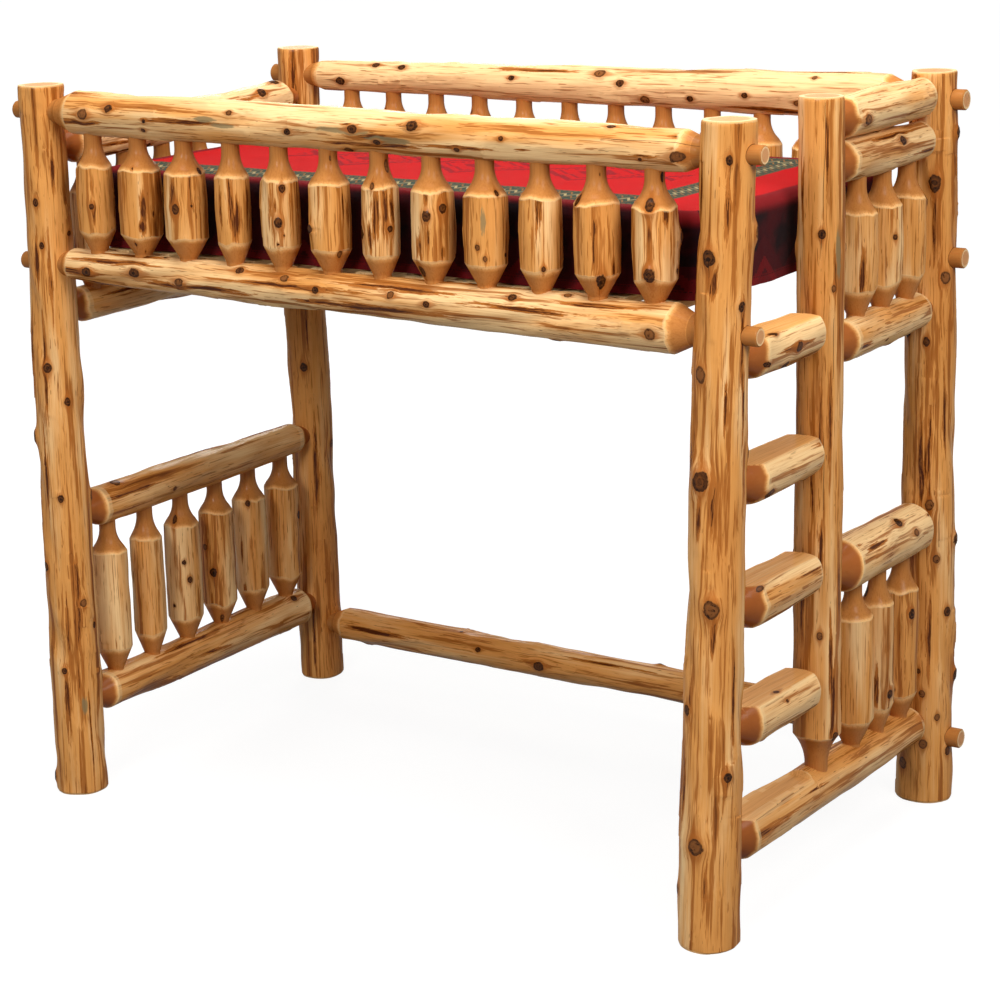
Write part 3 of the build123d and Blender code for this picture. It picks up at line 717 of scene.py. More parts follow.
    def _sides(self, paint: Paint, hem: Signal, rise: Signal, step: Signal, blot: Signal, colour: Signal) -> Signal:
        """Black and plum above, and stepped peaks on deep red above the hem.

        Args:
            paint: The cloth's nodes.
            hem: Distance from the hem.
            rise: The same in steps.
            step: Place along the hem in steps.
            blot: Cloudy noise.
            colour: The colour under them.

        Returns:
            The colour with the sides on it.
        """
        side = hem.rise(0.222, 0.196)
        fringe = (step * (TURN / 0.012)).wave().above(0.5) * rise.band(0.13, 0.19, 0.002)
        dark = paint.layers(self.black, (blot.rise(0.35, 0.65), self.maroon), (fringe * 0.5, self.plum))
        peak = rise + step.zigzag(0.22) * 0.1
        return paint.layers(
            colour,
            (hem.rise(0.256, 0.248), self.deep_red),
            (side, dark),
            (peak.band(0.0, 0.118, 0.0005) * side, self.maroon),
            (peak.band(0.036, 0.064, 0.0005) * side * 0.5, self.deep_red),
            (rise.band(0.0, 0.022, 0.0004) * 0.4, self.deep_red),
        )


@dataclass(frozen=True)
class MattressTicking:
    """Quilted off-white mattress cover with a fine woven stripe."""

    white: Rgb = (236, 233, 224)
    stripe: Rgb = (176, 184, 196)
    period: float = 0.036  # from stripe to stripe

    def material(self) -> Material:
        """Build the material.

        Returns:
            The finished material.
        """
        paint = Paint("mattress_ticking")
        place = paint.spot()
        stripe = paint.part(place, 0).zigzag(self.period).rise(0.88, 0.93)
        weave = paint.noise(place, (1500, 1500, 1500), 2.0)
        colour = paint.mix(stripe * 0.8, self.white, self.stripe)
        colour = paint.shade(colour, 0.93 + weave * 0.12)
        return paint.finish(colour, 0.88, weave, 0.0005, Sheen_Weight=0.2)


# ------------------------------------------------------------------ helpers for meshes
def only(piece: Object) -> None:
    """Select one object and nothing else.

    Args:
        piece: The object to select and make active.
    """
    bpy.ops.object.select_all(action="DESELECT")
    piece.select_set(True)
    bpy.context.view_layer.objects.active = piece


def primitive(add: Callable[..., set], name: str, **options: object) -> Object:
    """Add one of Blender's primitive meshes with nothing else selected, and name it.

    Args:
        add: Blender's operator that adds the primitive.
        name: Name of the object and of its mesh.
        options: What the operator is called with.

    Returns:
        The new object, selected and active.
    """
    bpy.ops.object.select_all(action="DESELECT")
    add(**options)
    piece = bpy.context.object
    piece.name = piece.data.name = name
    return piece


def freeze(piece: Object) -> None:
    """Make a piece's place, turn and size part of its mesh."""
    only(piece)
    bpy.ops.object.transform_apply(location=True, rotation=True, scale=True)


@contextmanager
def editing(piece: Object, kind: str = "FACE", chosen: Sequence[bool] | None = None) -> Iterator[None]:
    """Edit mode for the block of code, with some faces or edges selected, or everything.

    Args:
        piece: The object to edit.
        kind: Blender's name of what is selected.
        chosen: Which of them are selected; all where it is None.

    Yields:
        Nothing.
    """
    only(piece)
    bpy.ops.object.mode_set(mode="EDIT")
    bpy.ops.mesh.select_mode(type=kind)
    bpy.ops.mesh.select_all(action="SELECT" if chosen is None else "DESELECT")
    if chosen is not None:
        bpy.ops.object.mode_set(mode="OBJECT")
        parts = piece.data.edges if kind == "EDGE" else piece.data.polygons
        parts.foreach_set("select", np.asarray(chosen, bool))
        bpy.ops.object.mode_set(mode="EDIT")
    yield
    bpy.ops.object.mode_set(mode="OBJECT")


def hand_over(piece: Object, body: Body, node: str) -> None:
    """Let a finished piece ride on a body and stand for its node, and log it.

    Args:
        piece: The finished object.
        body: What it rides on.
        node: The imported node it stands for.
    """
    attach(piece, body.value)
    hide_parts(node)
    report.info("%s: %d faces", piece.name, len(piece.data.polygons))


def points_of(mesh: Mesh) -> Array:
    """A mesh's vertices as rows of three numbers.

    Args:
        mesh: The mesh to read.

    Returns:
        Its points.
    """
    flat = np.empty(len(mesh.vertices) * 3)
    mesh.vertices.foreach_get("co", flat)
    return flat.reshape(-1, 3)


def put_points(mesh: Mesh, points: Array) -> None:
    """Move a mesh's vertices to the given rows."""
    mesh.vertices.foreach_set("co", points.astype(np.float32).ravel())
    mesh.update()


def put_mark(mesh: Mesh, name: str, values: Array) -> None:
    """Give each vertex a number or a vector that the material reads.

    Args:
        mesh: The mesh that carries the mark.
        name: Name of the attribute.
        values: A number or a row of three for each vertex.
    """
    vector = values.ndim == 2
    made = mesh.attributes.new(name, "FLOAT_VECTOR" if vector else "FLOAT", "POINT")
    made.data.foreach_set("vector" if vector else "value", values.astype(np.float32).ravel())


def wrapped(angle: Array) -> Array:
    """Angles brought to between minus and plus half a turn."""
    return (angle + math.pi) % TURN - math.pi


def kept_within(values: Array, limits: tuple[float, float], margin: float) -> Array:
    """Values squeezed smoothly into a range.

    Args:
        values: What to squeeze.
        limits: The lowest and highest value.
        margin: How far from a limit the squeezing starts.

    Returns:
        The squeezed values.
    """
    low, high = limits
    over = np.maximum(values - (high - margin), 0)
    under = np.maximum((low + margin) - values, 0)
    values = np.where(over > 0, high - margin * np.exp(-over / margin), values)
    return np.where(under > 0, low + margin * np.exp(-under / margin), values)


# ------------------------------------------------------------------ measuring the turned logs
@dataclass
class Turning:
    """Axis and outline of one round solid, measured from its node."""

    start: Array
    axis: Array
    zero: Array  # direction of angle 0: up on a lying log, to the front on a standing one
    quarter: Array  # direction of a quarter turn
    length: float
    outline: Rings
    first: int  # place in the outline where the uncut log begins
    last: int  # and where it ends

    FACE = 3.2 * MM  # depth of the points that are taken as an end face
    LEVEL = 0.9 * MM  # how far a ring's points may lie from its level
    APART = 0.7 * MM  # difference of radius that parts two rings at one level
    SAME = 1.6 * MM  # rings nearer to one another than this are one
    FEWEST = 6  # points of a ring
    GAP = 0.7  # widest angle between neighbours on a whole ring
    FLAT_GAP = 2.3  # and across a planed top
    OFF_TOP = 0.25  # how far from angle 0 the middle of a planed top may be
    STEEP = 0.1  # slope from which the outline is a shoulder
    CONE = 0.25  # least slope at which a cutter runs on

    @classmethod
    def measured(cls, points: Array, planed: bool = False) -> "Turning":
        """Find the axis from the two end faces, and the outline from the rings of vertices.

        Args:
            points: The solid's vertices.
            planed: Whether a flat cuts the tops of its rings off.

        Returns:
            The measured shape.
        """
        lie = int(np.argmax(np.ptp(points, axis=0)))
        ends = []
        for place, sign in ((points[:, lie].min(), 1), (points[:, lie].max(), -1)):
            face = points[(points[:, lie] - place) * sign < cls.FACE]
            centre = (face.min(axis=0) + face.max(axis=0)) / 2
            centre[lie] = place
            ends.append(centre)
        start, length = ends[0], float(np.linalg.norm(ends[1] - ends[0]))
        axis = (ends[1] - start) / length
        guide = np.array([(0, 0, 1), (0, 0, 1), (0, -1, 0)][lie], float)
        zero = guide - axis * guide.dot(axis)
        zero /= np.linalg.norm(zero)
        quarter = np.cross(axis, zero)
        away = points - start
        distance = away @ axis
        east, north = away @ zero, away @ quarter
        radius, angle = np.hypot(east, north), np.arctan2(north, east)
        rings: Rings = []
        for level in np.unique(np.round(distance, 3)):
            near = np.abs(distance - level) < cls.LEVEL
            order = np.argsort(radius[near])
            for ring in np.split(order, np.flatnonzero(np.diff(radius[near][order]) > cls.APART) + 1):
                if len(ring) < cls.FEWEST:
                    continue
                turns = np.sort(angle[near][ring])
                gaps = np.diff(np.append(turns, turns[0] + TURN))
                widest = int(gaps.argmax())
                on_top = abs(wrapped(turns[widest] + gaps[widest] / 2)) < cls.OFF_TOP
                allowed = cls.FLAT_GAP if planed and on_top else cls.GAP
                found = (float(distance[near][ring].mean()), float(radius[near][ring].mean()))
                known = any(math.dist(found, r) < cls.SAME for r in rings)
                if gaps[widest] < allowed and np.sort(gaps)[-2] < cls.GAP and not known:
                    rings.append(found)
        rings.sort(key=lambda ring: (ring[0] // MM, ring[1] if ring[0] < length / 2 else -ring[1]))
        first = max(i for i, ring in enumerate(rings) if ring[0] <= length / 2 - MM)
        last = first + 1
        while first > 0 and abs(cls._slope(rings[first - 1], rings[first])) < cls.STEEP:
            first -= 1
        while last < len(rings) - 1 and abs(cls._slope(rings[last], rings[last + 1])) < cls.STEEP:
            last += 1
        return cls(start, axis, zero, quarter, length, rings, first, last)

    @staticmethod
    def _slope(near: tuple[float, float], far: tuple[float, float]) -> float:
        """Change of radius over distance between two rings."""
        return (far[1] - near[1]) / max(far[0] - near[0], 1e-6)

    def ends(self) -> list[tuple[Rings, int]]:
        """For each cut end its rings, from the tip to the uncut log, and the way inward along the axis."""
        both = [(self.outline[: self.first + 1], 1), (self.outline[self.last :][::-1], -1)]
        return [(rings, inward) for rings, inward in both if len(rings) > 1]

    def body(self, distance: Array) -> Array:
        """Radius that the log had before its ends were cut.

        Args:
            distance: Places along the axis.

        Returns:
            The radii.
        """
        spots = np.array(self.outline[self.first : self.last + 1])
        radius = np.interp(distance, spots[:, 0], spots[:, 1])
        for (s0, r0), (s1, r1), outside in (
            (spots[0], spots[1], distance < spots[0, 0]),
            (spots[-1], spots[-2], distance > spots[-1, 0]),
        ):
            radius = np.where(outside, r0 + (distance - s0) * (r1 - r0) / (s1 - s0), radius)
        return radius

    def cutter(self, distance: Array) -> Array:
        """Radius that the tenon cutters leave, which runs on past the log's surface.

        Args:
            distance: Places along the axis.

        Returns:
            The radii, endless between the two ends.
        """
        radius = np.full(distance.shape, np.inf)
        for rings, sign in self.ends():
            places = np.array(rings)
            steps = places[:, 0] * sign + np.arange(len(places)) * 1e-7
            cone = max((places[-1, 1] - places[-2, 1]) / max(steps[-1] - steps[-2], 1e-6), self.CONE)
            cut = np.interp(distance * sign, steps, places[:, 1])
            beyond = np.maximum(distance * sign - steps[-1], 0)
            radius = np.minimum(radius, cut + beyond * cone)
        return radius

    def at(self, distance: Array, angle: Array, radius: Array) -> Array:
        """Points at a distance along the axis, an angle round it and a radius from it."""
        out = np.cos(angle)[..., None] * self.zero + np.sin(angle)[..., None] * self.quarter
        return self.start + distance[..., None] * self.axis + radius[..., None] * out


@dataclass
class Knot:
    """A branch stub trimmed near the surface."""

    distance: float
    angle: float
    size: float
    rise: float
    kind: float = 0.5  # from 0, black and cracked, to 1, sound and tan

    def reach(self, distance: Array, angle: Array, radius: float) -> Array:
        """How many of its own radii each point is away from the knot's middle.

        Args:
            distance: Places along the log's axis.
            angle: Angles round it.
            radius: The log's radius.

        Returns:
            The distances, counted in knot radii.
        """
        along = (distance - self.distance) / (1.3 * self.size)
        round_it = wrapped(angle - self.angle) * radius / self.size
        return np.hypot(along, round_it)


@dataclass
class PeeledLog:
    """A log with the swells, flutes, drawknife facets and knots that peeling leaves.

    The surface is the lower of the natural log and what the tenon cutters leave, so each shoulder
    runs round the log as an uneven line.
    """

    name: str
    node: str
    shape: Turning
    seed: int
    sway: float = 2.6 * MM
    segments: int = 64
    spacing: float = 6.5 * MM  # of the rings of vertices
    finest: float = 3.2 * MM  # their spacing at edges and small knots
    blend: float = 0.08  # length over which the rings straighten inward of a ragged shoulder
    facet_area: float = 0.0034  # square metres of surface to each drawknife facet,
    knot_area: float = 0.05  # to each random knot
    bark_area: float = 0.045  # and to each random remain of bark
    deepest: float = 1.8 * MM  # that a facet may cut
    smooth_below: float = math.radians(24)  # sharper edges stay crisp
    tone: float = 0.5  # how brown the whole log is, from 0 to 1
    knots: Rows = field(default_factory=list)
    stains: Rows = field(default_factory=list)
    barks: Rows = field(default_factory=list)
    heart: float = 0.3  # how brown the wood is where it is cut deep
    # The planed tops are kept paler than cut collars: partly the fresh planed wood, partly painted light on these
    # upward faces.
    flat_heart: float = 0.15  # and on a planed top
    flat_depth: float = 2.4 * MM  # how deep a planed top counts as cut, besides its real depth
    cracks: Rows = field(default_factory=list)
    knot_share: float = 1.0
    checks: int = 3  # in each sawn end
    level: bool = False  # whether the ends are sawn level and chamfered
    chamfer: tuple[float, float] = (3.0 * MM, 2.0 * MM)  # of the lower and the upper end
    chamfer_slope: float = 0.8
    flat_z: float | None = None  # height of the planed top
    flat_end: float = math.inf  # and where it stops
    side_limits: tuple[float, float] = (-math.inf, math.inf)
    bow: tuple[float, float, float] = (0.0, 1.0, 1.0)  # sideways bend, how far up it is, and its spread
    # where other logs enter this one; they place the painted shade line round each socket
    sockets: list[tuple[Array, Array, float, float]] = field(default_factory=list)

    FAR = 30.0  # millimetres, the mark where no crack or check is near
    FAR_JOINT = 40.0  # and where no joint is
    COLLAR = -0.4  # the heart mark of a pale collar or tenon
    CHECK_TURN = 2.4  # angle from one check to the next

    def __post_init__(self) -> None:
        """Draw the log's own waves, facets and knots."""
        rng = np.random.default_rng(self.seed)
        length, girth = self.shape.length, TURN * float(self.shape.body(np.array([self.shape.length / 2]))[0])
        self.girth = girth
        lobes = [1, 2, 1, 3, 2, 4, 3, 5, 1, 2, 6, 4]
        reaches = [1.1, 0.9, 0.5, 0.8, 0.42, 0.6, 0.3, 0.4, 0.22, 0.2, 0.3, 0.14]
        self.waves = [
            (self.sway * rng.uniform(0.25, 0.6) * reach**0.55, TURN / reach, lobe, rng.uniform(0, TURN))
            for lobe, reach in zip(lobes, reaches)
        ]
        count = int(length * girth / self.facet_area)
        self.facets = [
            (rng.uniform(0, length), rng.uniform(0, TURN), rng.uniform(0.05, 0.14), rng.uniform(0.3, 1.25) * MM)
            for _ in range(count)
        ]
        self.all_knots = [
            Knot(s, math.radians(a), size * MM, rise * MM, rng.uniform(0, 1)) for s, a, size, rise in self.knots
        ]
        for _ in range(int(length * girth / self.knot_area * self.knot_share + rng.uniform(0, 1))):
            size = rng.choice([4.5, 6.0, 7.5, 10.0, 13.0]) * MM
            place, turn = rng.uniform(0.04, length - 0.04), rng.uniform(0, TURN)
            fresh = Knot(place, turn, size, size * rng.uniform(0.05, 0.4), rng.uniform(0, 1))
            if all(knot.reach(np.array(place), np.array(turn), girth / TURN) > 4 for knot in self.all_knots):
                self.all_knots.append(fresh)
        self.splits = list(self.cracks) + [
            (knot.distance - rng.uniform(2, 5) * knot.size, knot.distance, math.degrees(knot.angle))
            for knot in self.all_knots
            if knot.size > 8 * MM and knot.kind < 0.4
        ]
        self.shift = rng.uniform(-20, 20, 3)
        patches = int(length * girth / self.bark_area + rng.uniform(0, 1))
        self.all_barks = list(self.barks) + [
            (
                rng.uniform(0, length),
                rng.uniform(0, 360),
                rng.uniform(0.1, 0.34) * min(length, 0.8),
                rng.uniform(4, 13) * MM,
            )
            for _ in range(patches)
        ]

    def natural(self, distance: Array, angle: Array) -> Array:
        """Radius of the peeled log before its ends were cut.

        Args:
            distance: Places along the axis.
            angle: Angles round it.

        Returns:
            The radii.
        """
        base = self.shape.body(distance)
        radius = base.copy()
        for size, rate, lobe, phase in self.waves:
            radius += size * np.sin(distance * rate + lobe * angle + phase)
        for place, turn, half, depth in self.facets:
            along = 1 - ((distance - place) / half) ** 2
            offset = wrapped(angle - turn)
            near = (along > 0) & (np.abs(offset) < 0.6)
            plane = (base[near] - depth * along[near] * 1.6 + 0.35 * MM) / np.cos(offset[near])
            radius[near] = np.minimum(radius[near], np.maximum(plane, radius[near] - self.deepest))
        for knot in self.all_knots:
            reach = knot.reach(distance, angle, self.girth / TURN)
            stub = np.minimum(np.exp(-((reach / 1.15) ** 2)), 0.62) / 0.62
            radius += knot.rise * stub + 0.3 * knot.rise * np.exp(-((reach / 2.8) ** 2))
        return radius

    def _rings(self) -> Array:
        """Distances of the rings of vertices: close at the ends and knots, with one on each edge of the outline.

        The gap between rings grows by 0.12 of the way from an edge, and by 0.3 of the way from a knot.

        Returns:
            The distances, in rising order.
        """
        shape = self.shape
        along = np.linspace(0, shape.length, 2000)
        gap = np.full(along.shape, self.spacing)
        edges = [s for i, (s, _) in enumerate(shape.outline) if i <= shape.first or i >= shape.last]
        for edge in edges[1:-1]:
            gap = np.minimum(gap, self.finest + np.abs(along - edge) * 0.12)
        for knot in self.all_knots:
            outside = np.maximum(np.abs(along - knot.distance) - 1.6 * knot.size, 0)
            gap = np.minimum(gap, max(0.42 * knot.size, self.finest) + outside * 0.3)
        steps = np.concatenate([[0], np.cumsum(np.diff(along) / ((gap[1:] + gap[:-1]) / 2))])
        passes = math.ceil(math.sqrt(steps[-1]))
        self.passes = (passes, math.ceil(steps[-1] / passes))
        rings = np.interp(np.linspace(0, steps[-1], self.passes[0] * self.passes[1] + 1), steps, along)
        taken = 0
        for edge in sorted(edges[1:-1]):
            spot = max(int(np.argmin(np.abs(rings - edge))), taken + 1)
            if spot < len(rings) - 1:
                rings[spot], taken = edge, spot
        return np.maximum.accumulate(rings)

    def _shoulder(self, rings: Rings, inward: int, angle: Array) -> Array:
        """Where the cutter's cone, which the last two rings give, meets the natural log at each angle.

        Args:
            rings: The end's rings, from its tip inward.
            inward: 1 or -1, the way inward along the axis.
            angle: Angles round the log.

        Returns:
            The place along the axis for each angle.
        """
        (before, inner), (edge, radius) = rings[-2:]
        cone = max((radius - inner) / max(abs(edge - before), 1e-6), self.shape.CONE)
        line = np.full(angle.shape, edge)
        for _ in range(4):
            line = edge + inward * (self.natural(line, angle) - radius) / cone
        return line

    def _grid(self) -> tuple[Array, Array]:
        """Distance and angle of each vertex, rings by columns, fitted to the shoulders and the planed flat.

        Returns:
            The distances and the angles.
        """
        shape = self.shape
        rings = self._rings()
        angle = np.arange(self.segments) / self.segments * TURN
        angle = np.broadcast_to(wrapped(angle), (len(rings), self.segments)).copy()
        columns = angle[0]
        stops: list[tuple[float, Array | float]] = [(0.0, 0.0)]
        for ends, inward in shape.ends():
            before, edge = ends[-2][0], ends[-1][0]
            hold = edge + inward * self.blend
            fixed = [(before, before), (edge, self._shoulder(ends, inward, columns)), (hold, hold)]
            stops += sorted(fixed, key=lambda stop: stop[0])
        stops.append((shape.length, shape.length))
        keys = np.array([s[0] for s in stops])
        places = np.array([np.broadcast_to(s[1], self.segments) for s in stops])
        distance = np.column_stack([np.interp(rings, keys, places[:, c]) for c in range(self.segments)])
        if self.flat_z is not None:
            first = distance[:, :1]
            share = self._flat_height(first).mean() / self.natural(first, first * 0).mean()
            edge_column = round(math.acos(min(0.99, share)) / TURN * self.segments)
            nominal = edge_column / self.segments * TURN
            for sign in (1, -1):
                along = distance[:, [sign * edge_column]]
                edge = np.full(along.shape, nominal * sign)
                for _ in range(4):
                    r = np.minimum(self.natural(along, edge), shape.cutter(along))
                    edge = sign * np.arccos(np.clip(self._flat_height(along) / r, -1, 1))
                edge = np.abs(np.where(np.abs(edge) < nominal * 0.35, nominal, edge))
                inside = angle / nominal * edge
                beyond = (math.pi - np.abs(angle)) / (math.pi - nominal) * (math.pi - edge)
                fitted = np.where(np.abs(angle) <= nominal + 1e-6, inside, sign * (math.pi - beyond))
                angle = np.where(angle * sign > 0, fitted, angle)
        return distance, angle

    def _flat_height(self, distance: Array) -> Array:
        """Height of the planed flat above the axis, rising out of the log where the flat ends.

        Args:
            distance: Places along the axis.

        Returns:
            The heights.
        """
        axis_z = self.shape.start[2] + distance * self.shape.axis[2]
        lift = np.maximum(distance - self.flat_end + 0.02, 0) ** 2 / 0.02
        return self.flat_z - axis_z + lift * 1.5

    def build(self, side: Material, end: Material) -> None:
        """Shape the log from a cylinder and let it stand for its node.

        Args:
            side: Material of the log's side.
            end: Material of its sawn ends.
        """
        shape = self.shape
        distance, angle = self._grid()
        natural, cutter = self.natural(distance, angle), shape.cutter(distance)
        if self.level:
            top = natural - self.chamfer[1] + (shape.length - distance) * self.chamfer_slope
            foot = natural - self.chamfer[0] + distance * self.chamfer_slope
            cutter = np.minimum(cutter, np.minimum(top, foot))
        radius = np.minimum(natural, cutter)
        depth = natural - cutter
        heart = np.full(distance.shape, self.heart)
        if self.flat_z is not None:
            height = self._flat_height(distance)
            over = radius * np.cos(angle) - height
            flat = over > 0
            heart = np.where(over > -0.05 * MM, self.flat_heart, heart)
            # a planed top counts as only shallowly cut, so it stays pale: partly the planed wood, partly painted light
            depth = np.where(flat, np.minimum(over, MM) + self.flat_depth, np.maximum(depth, over))
            radius = np.where(flat, height / np.maximum(np.cos(angle), 0.2), radius)

        piece = self._blank(float(radius.max()))
        mesh = piece.data
        raw = points_of(mesh) - shape.start
        along = raw @ shape.axis / shape.length
        east, north = raw @ shape.zero, raw @ shape.quarter
        ring = np.rint(along * (len(distance) - 1)).astype(int)
        column = np.rint(np.arctan2(north, east) / TURN * self.segments).astype(int) % self.segments
        hub = np.hypot(east, north) < 1e-4
        s, a = distance[ring, column], angle[ring, column]
        r = np.where(hub, 0.0, radius[ring, column])
        points = shape.at(s, a, r)
        points[:, 0] += self.bow[0] * np.exp(-(((s - self.bow[1]) / self.bow[2]) ** 2))
        if self.level:
            points[ring == 0, 2] = shape.start[2]
            points[ring == len(distance) - 1, 2] = shape.start[2] + shape.length * shape.axis[2]
            points[:, 1] = kept_within(points[:, 1], self.side_limits, 3.0 * MM)
        put_points(mesh, points)
        self._put_marks(mesh, s, a, r, np.where(hub, 0.0, depth[ring, column]), hub, points, heart[ring, column])

        mesh.materials.append(side)
        mesh.materials.append(end)
        capped = np.array([any(hub[v] for v in face.vertices) for face in mesh.polygons])
        mesh.polygons.foreach_set("material_index", capped.astype(np.int32))
        only(piece)
        bpy.ops.object.shade_smooth_by_angle(angle=self.smooth_below)
        hand_over(piece, Body.FRAME, self.node)

    def _blank(self, radius: float) -> Object:
        """A cylinder at the log's size and place, cut into rings, its two ends poked to a hub.

        Args:
            radius: The cylinder's radius.

        Returns:
            The object, its place in its mesh.
        """
        shape = self.shape
        turned = Matrix(np.column_stack([shape.zero, shape.quarter, shape.axis]).tolist())
        piece = primitive(
            bpy.ops.mesh.primitive_cylinder_add,
            self.name,
            vertices=self.segments,
            radius=radius,
            depth=shape.length,
            location=shape.start + shape.axis * shape.length / 2,
            rotation=turned.to_euler(),
        )
        freeze(piece)
        for cuts in self.passes:
            if cuts < 2:
                continue
            ends = np.empty(len(piece.data.edges) * 2, np.int32)
            piece.data.edges.foreach_get("vertices", ends)
            rise = (points_of(piece.data) @ shape.axis)[ends.reshape(-1, 2)]
            with editing(piece, "EDGE", np.abs(rise[:, 0] - rise[:, 1]) > 1e-5):
                bpy.ops.mesh.subdivide(number_cuts=cuts - 1)
        with editing(piece, "FACE", [len(face.vertices) > 4 for face in piece.data.polygons]):
            bpy.ops.mesh.poke()
        return piece

    def _put_marks(
        self,
        mesh: Mesh,
        s: Array,
        a: Array,
        r: Array,
        depth: Array,
        hub: Array,
        points: Array,
        heart: Array,
    ) -> None:
        """Store what the cedar material reads at each vertex.

        Args:
            mesh: The log's mesh.
            s: Distance along the axis.
            a: Angle round it.
            r: Radius.
            depth: How far the surface lies under the natural log.
            hub: Which vertices are the middles of the ends.
            points: Their places.
            heart: How brown the wood is where it is cut deep.
        """
        radius = self.girth / TURN
        turn, reach, halo, kind = a.copy(), np.full(s.shape, 5.0), np.zeros(s.shape), np.zeros(s.shape)
        for knot in self.all_knots:
            away = knot.reach(s, a, radius)
            side = wrapped(a - knot.angle)
            turn -= side * 0.9 * np.exp(-((away / 1.5) ** 2))
            kind = np.where(away < reach, knot.kind, kind)
            reach = np.minimum(reach, away)
            tail = np.hypot((s - knot.distance) / (knot.size * 4.5), side * radius / (knot.size * 1.15))
            halo = np.maximum(halo, np.exp(-(tail**2)))
        grain = np.column_stack([np.cos(turn) * np.maximum(r, 1e-4), np.sin(turn) * np.maximum(r, 1e-4), s])
        for rings, inside in self.shape.ends():
            if len(rings) > 2 and rings[1][1] - rings[0][1] > MM:
                heart = np.where((s - rings[2][0] - inside * 0.04) * inside < 0, self.COLLAR, heart)
        marks = {
            "grain": grain + self.shift,
            "cut_depth": np.clip(depth / MM, -30, 40),
            "knot": reach,
            "halo": halo,
            "knot_kind": kind,
            "rim": np.where(hub, 0.0, 1.0),
            "tone": np.full(s.shape, self.tone),
            "heart": heart,
        }
        for name, patches in (("stain", self.stains), ("bark", self.all_barks)):
            marks[name] = np.zeros(s.shape)
            for place, degrees, long, wide in patches:
                spot = np.hypot((s - place) / long, wrapped(turn - math.radians(degrees)) * radius / wide)
                marks[name] = np.maximum(marks[name], np.clip(1.15 - spot, 0, 1))
        crack, check, joint_shade = (np.full(s.shape, far) for far in (self.FAR, self.FAR, self.FAR_JOINT))
        for low, high, degrees in self.splits:
            wander = np.sin(s * 31 + degrees) * 0.02 + np.sin(s * 11 + degrees) * 0.03
            off = wrapped(a - math.radians(degrees) - wander) * radius / MM
            beyond = np.maximum(np.maximum(low - s, s - high), 0) / MM
            off = off + np.sign(off) * beyond
            crack = np.where(np.abs(off) < np.abs(crack), off, crack)
        for i in range(self.checks):
            turned = wrapped(a - self.shift[0] - i * self.CHECK_TURN)
            check = np.minimum(check, np.abs(turned) * np.maximum(r, 1e-3) / MM)
        # distance to each socket's mouth, which places the painted shade line round an entering collar or tenon
        for centre, way, width, sense in self.sockets:
            away = points - centre
            rise = away @ way
            off = (np.linalg.norm(away - rise[:, None] * way, axis=1) - width) / MM
            joint_shade = np.where(rise * sense > 0, np.minimum(joint_shade, off), joint_shade)
        marks |= {"crack": crack, "check": check, "joint_shade": joint_shade}
        for name, values in marks.items():
            put_mark(mesh, name, values)


# ------------------------------------------------------------------ the bed's parts
@dataclass
class Timber:
    """All the round logs: measured first, then joined to one another, then built."""

    side: Material
    end: Material
    logs: list[PeeledLog] = field(default_factory=list)

    MISS = 0.02  # how far from one another the axes of two joined logs may pass
    REACH = (-0.01, 0.15)  # how far past its tip a tenon's axis may meet the host's
    ALIKE = 0.5  # least sine of the angle between them

    def add(self, node: str, seed: int, **options: object) -> PeeledLog:
        """Measure a one-log node and keep it for building.

        Args:
            node: Name of the node.
            seed: Start of the log's random draws.
            options: Other fields of the log.

        Returns:
            The log.
        """
        planed = node.startswith(("rung", "step"))
        shape = Turning.measured(points_of(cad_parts[node].data), planed)
        log = PeeledLog(f"peeled_{node}", node, shape, seed, **MARKS.get(node, {}), **options)
        self.logs.append(log)
        return log

    def add_panel(self, node: str, seed: int, **options: object) -> None:
        """Measure a node of several spindles, which stand apart along Y.

        Args:
            node: Name of the node.
            seed: Start of the first spindle's random draws.
            options: Other fields of the spindles.
        """
        points = points_of(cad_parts[node].data)
        order = points[np.argsort(points[:, 1])]
        breaks = np.flatnonzero(np.diff(order[:, 1]) > 0.01) + 1
        for i, cloud in enumerate(np.split(order, breaks)):
            log = PeeledLog(f"peeled_{node}_{i + 1}", node, Turning.measured(cloud), seed + i, **options)
            self.logs.append(log)

    def join(self) -> None:
        """Tell each log which collars and tenons enter it, for the painted shade line round each of them."""
        for guest in self.logs:
            shape = guest.shape
            for rings, inward in shape.ends():
                tip = shape.start + shape.axis * (0 if inward > 0 else shape.length)
                collar = next((r for r in rings if abs(r[0] - rings[0][0]) > 0.02), rings[-1])[1]
                way = shape.axis * inward
                for host in self.logs:
                    if host is guest:
                        continue
                    spot, gap = self._meeting(tip, way, host.shape)
                    if gap < self.MISS:
                        host.sockets.append((spot, way, collar, 1))
                        host.sockets.append((spot, way, rings[1][1], -1))

    @classmethod
    def _meeting(cls, tip: Array, way: Array, host: Turning) -> tuple[Array | None, float]:
        """Point of a host's axis nearest to a guest's axis, if the guest's end lies by it.

        Args:
            tip: The guest's end.
            way: The guest's direction, away from that end.
            host: The log it may enter.

        Returns:
            The point and the distance between the two axes, or None and an endless one.
        """
        normal = np.cross(way, host.axis)
        size = np.linalg.norm(normal)
        if size < cls.ALIKE:
            return None, math.inf
        across = np.cross(normal, way)
        distance = (tip - host.start) @ across / (host.axis @ across)
        spot = host.start + host.axis * distance
        if not (0 < distance < host.length and cls.REACH[0] < (spot - tip) @ way < cls.REACH[1]):
            return None, math.inf
        return spot, abs((tip - host.start) @ normal) / size

    def build(self) -> None:
        """Build every log and let it stand for its node."""
        for log in self.logs:
            log.build(self.side, self.end)


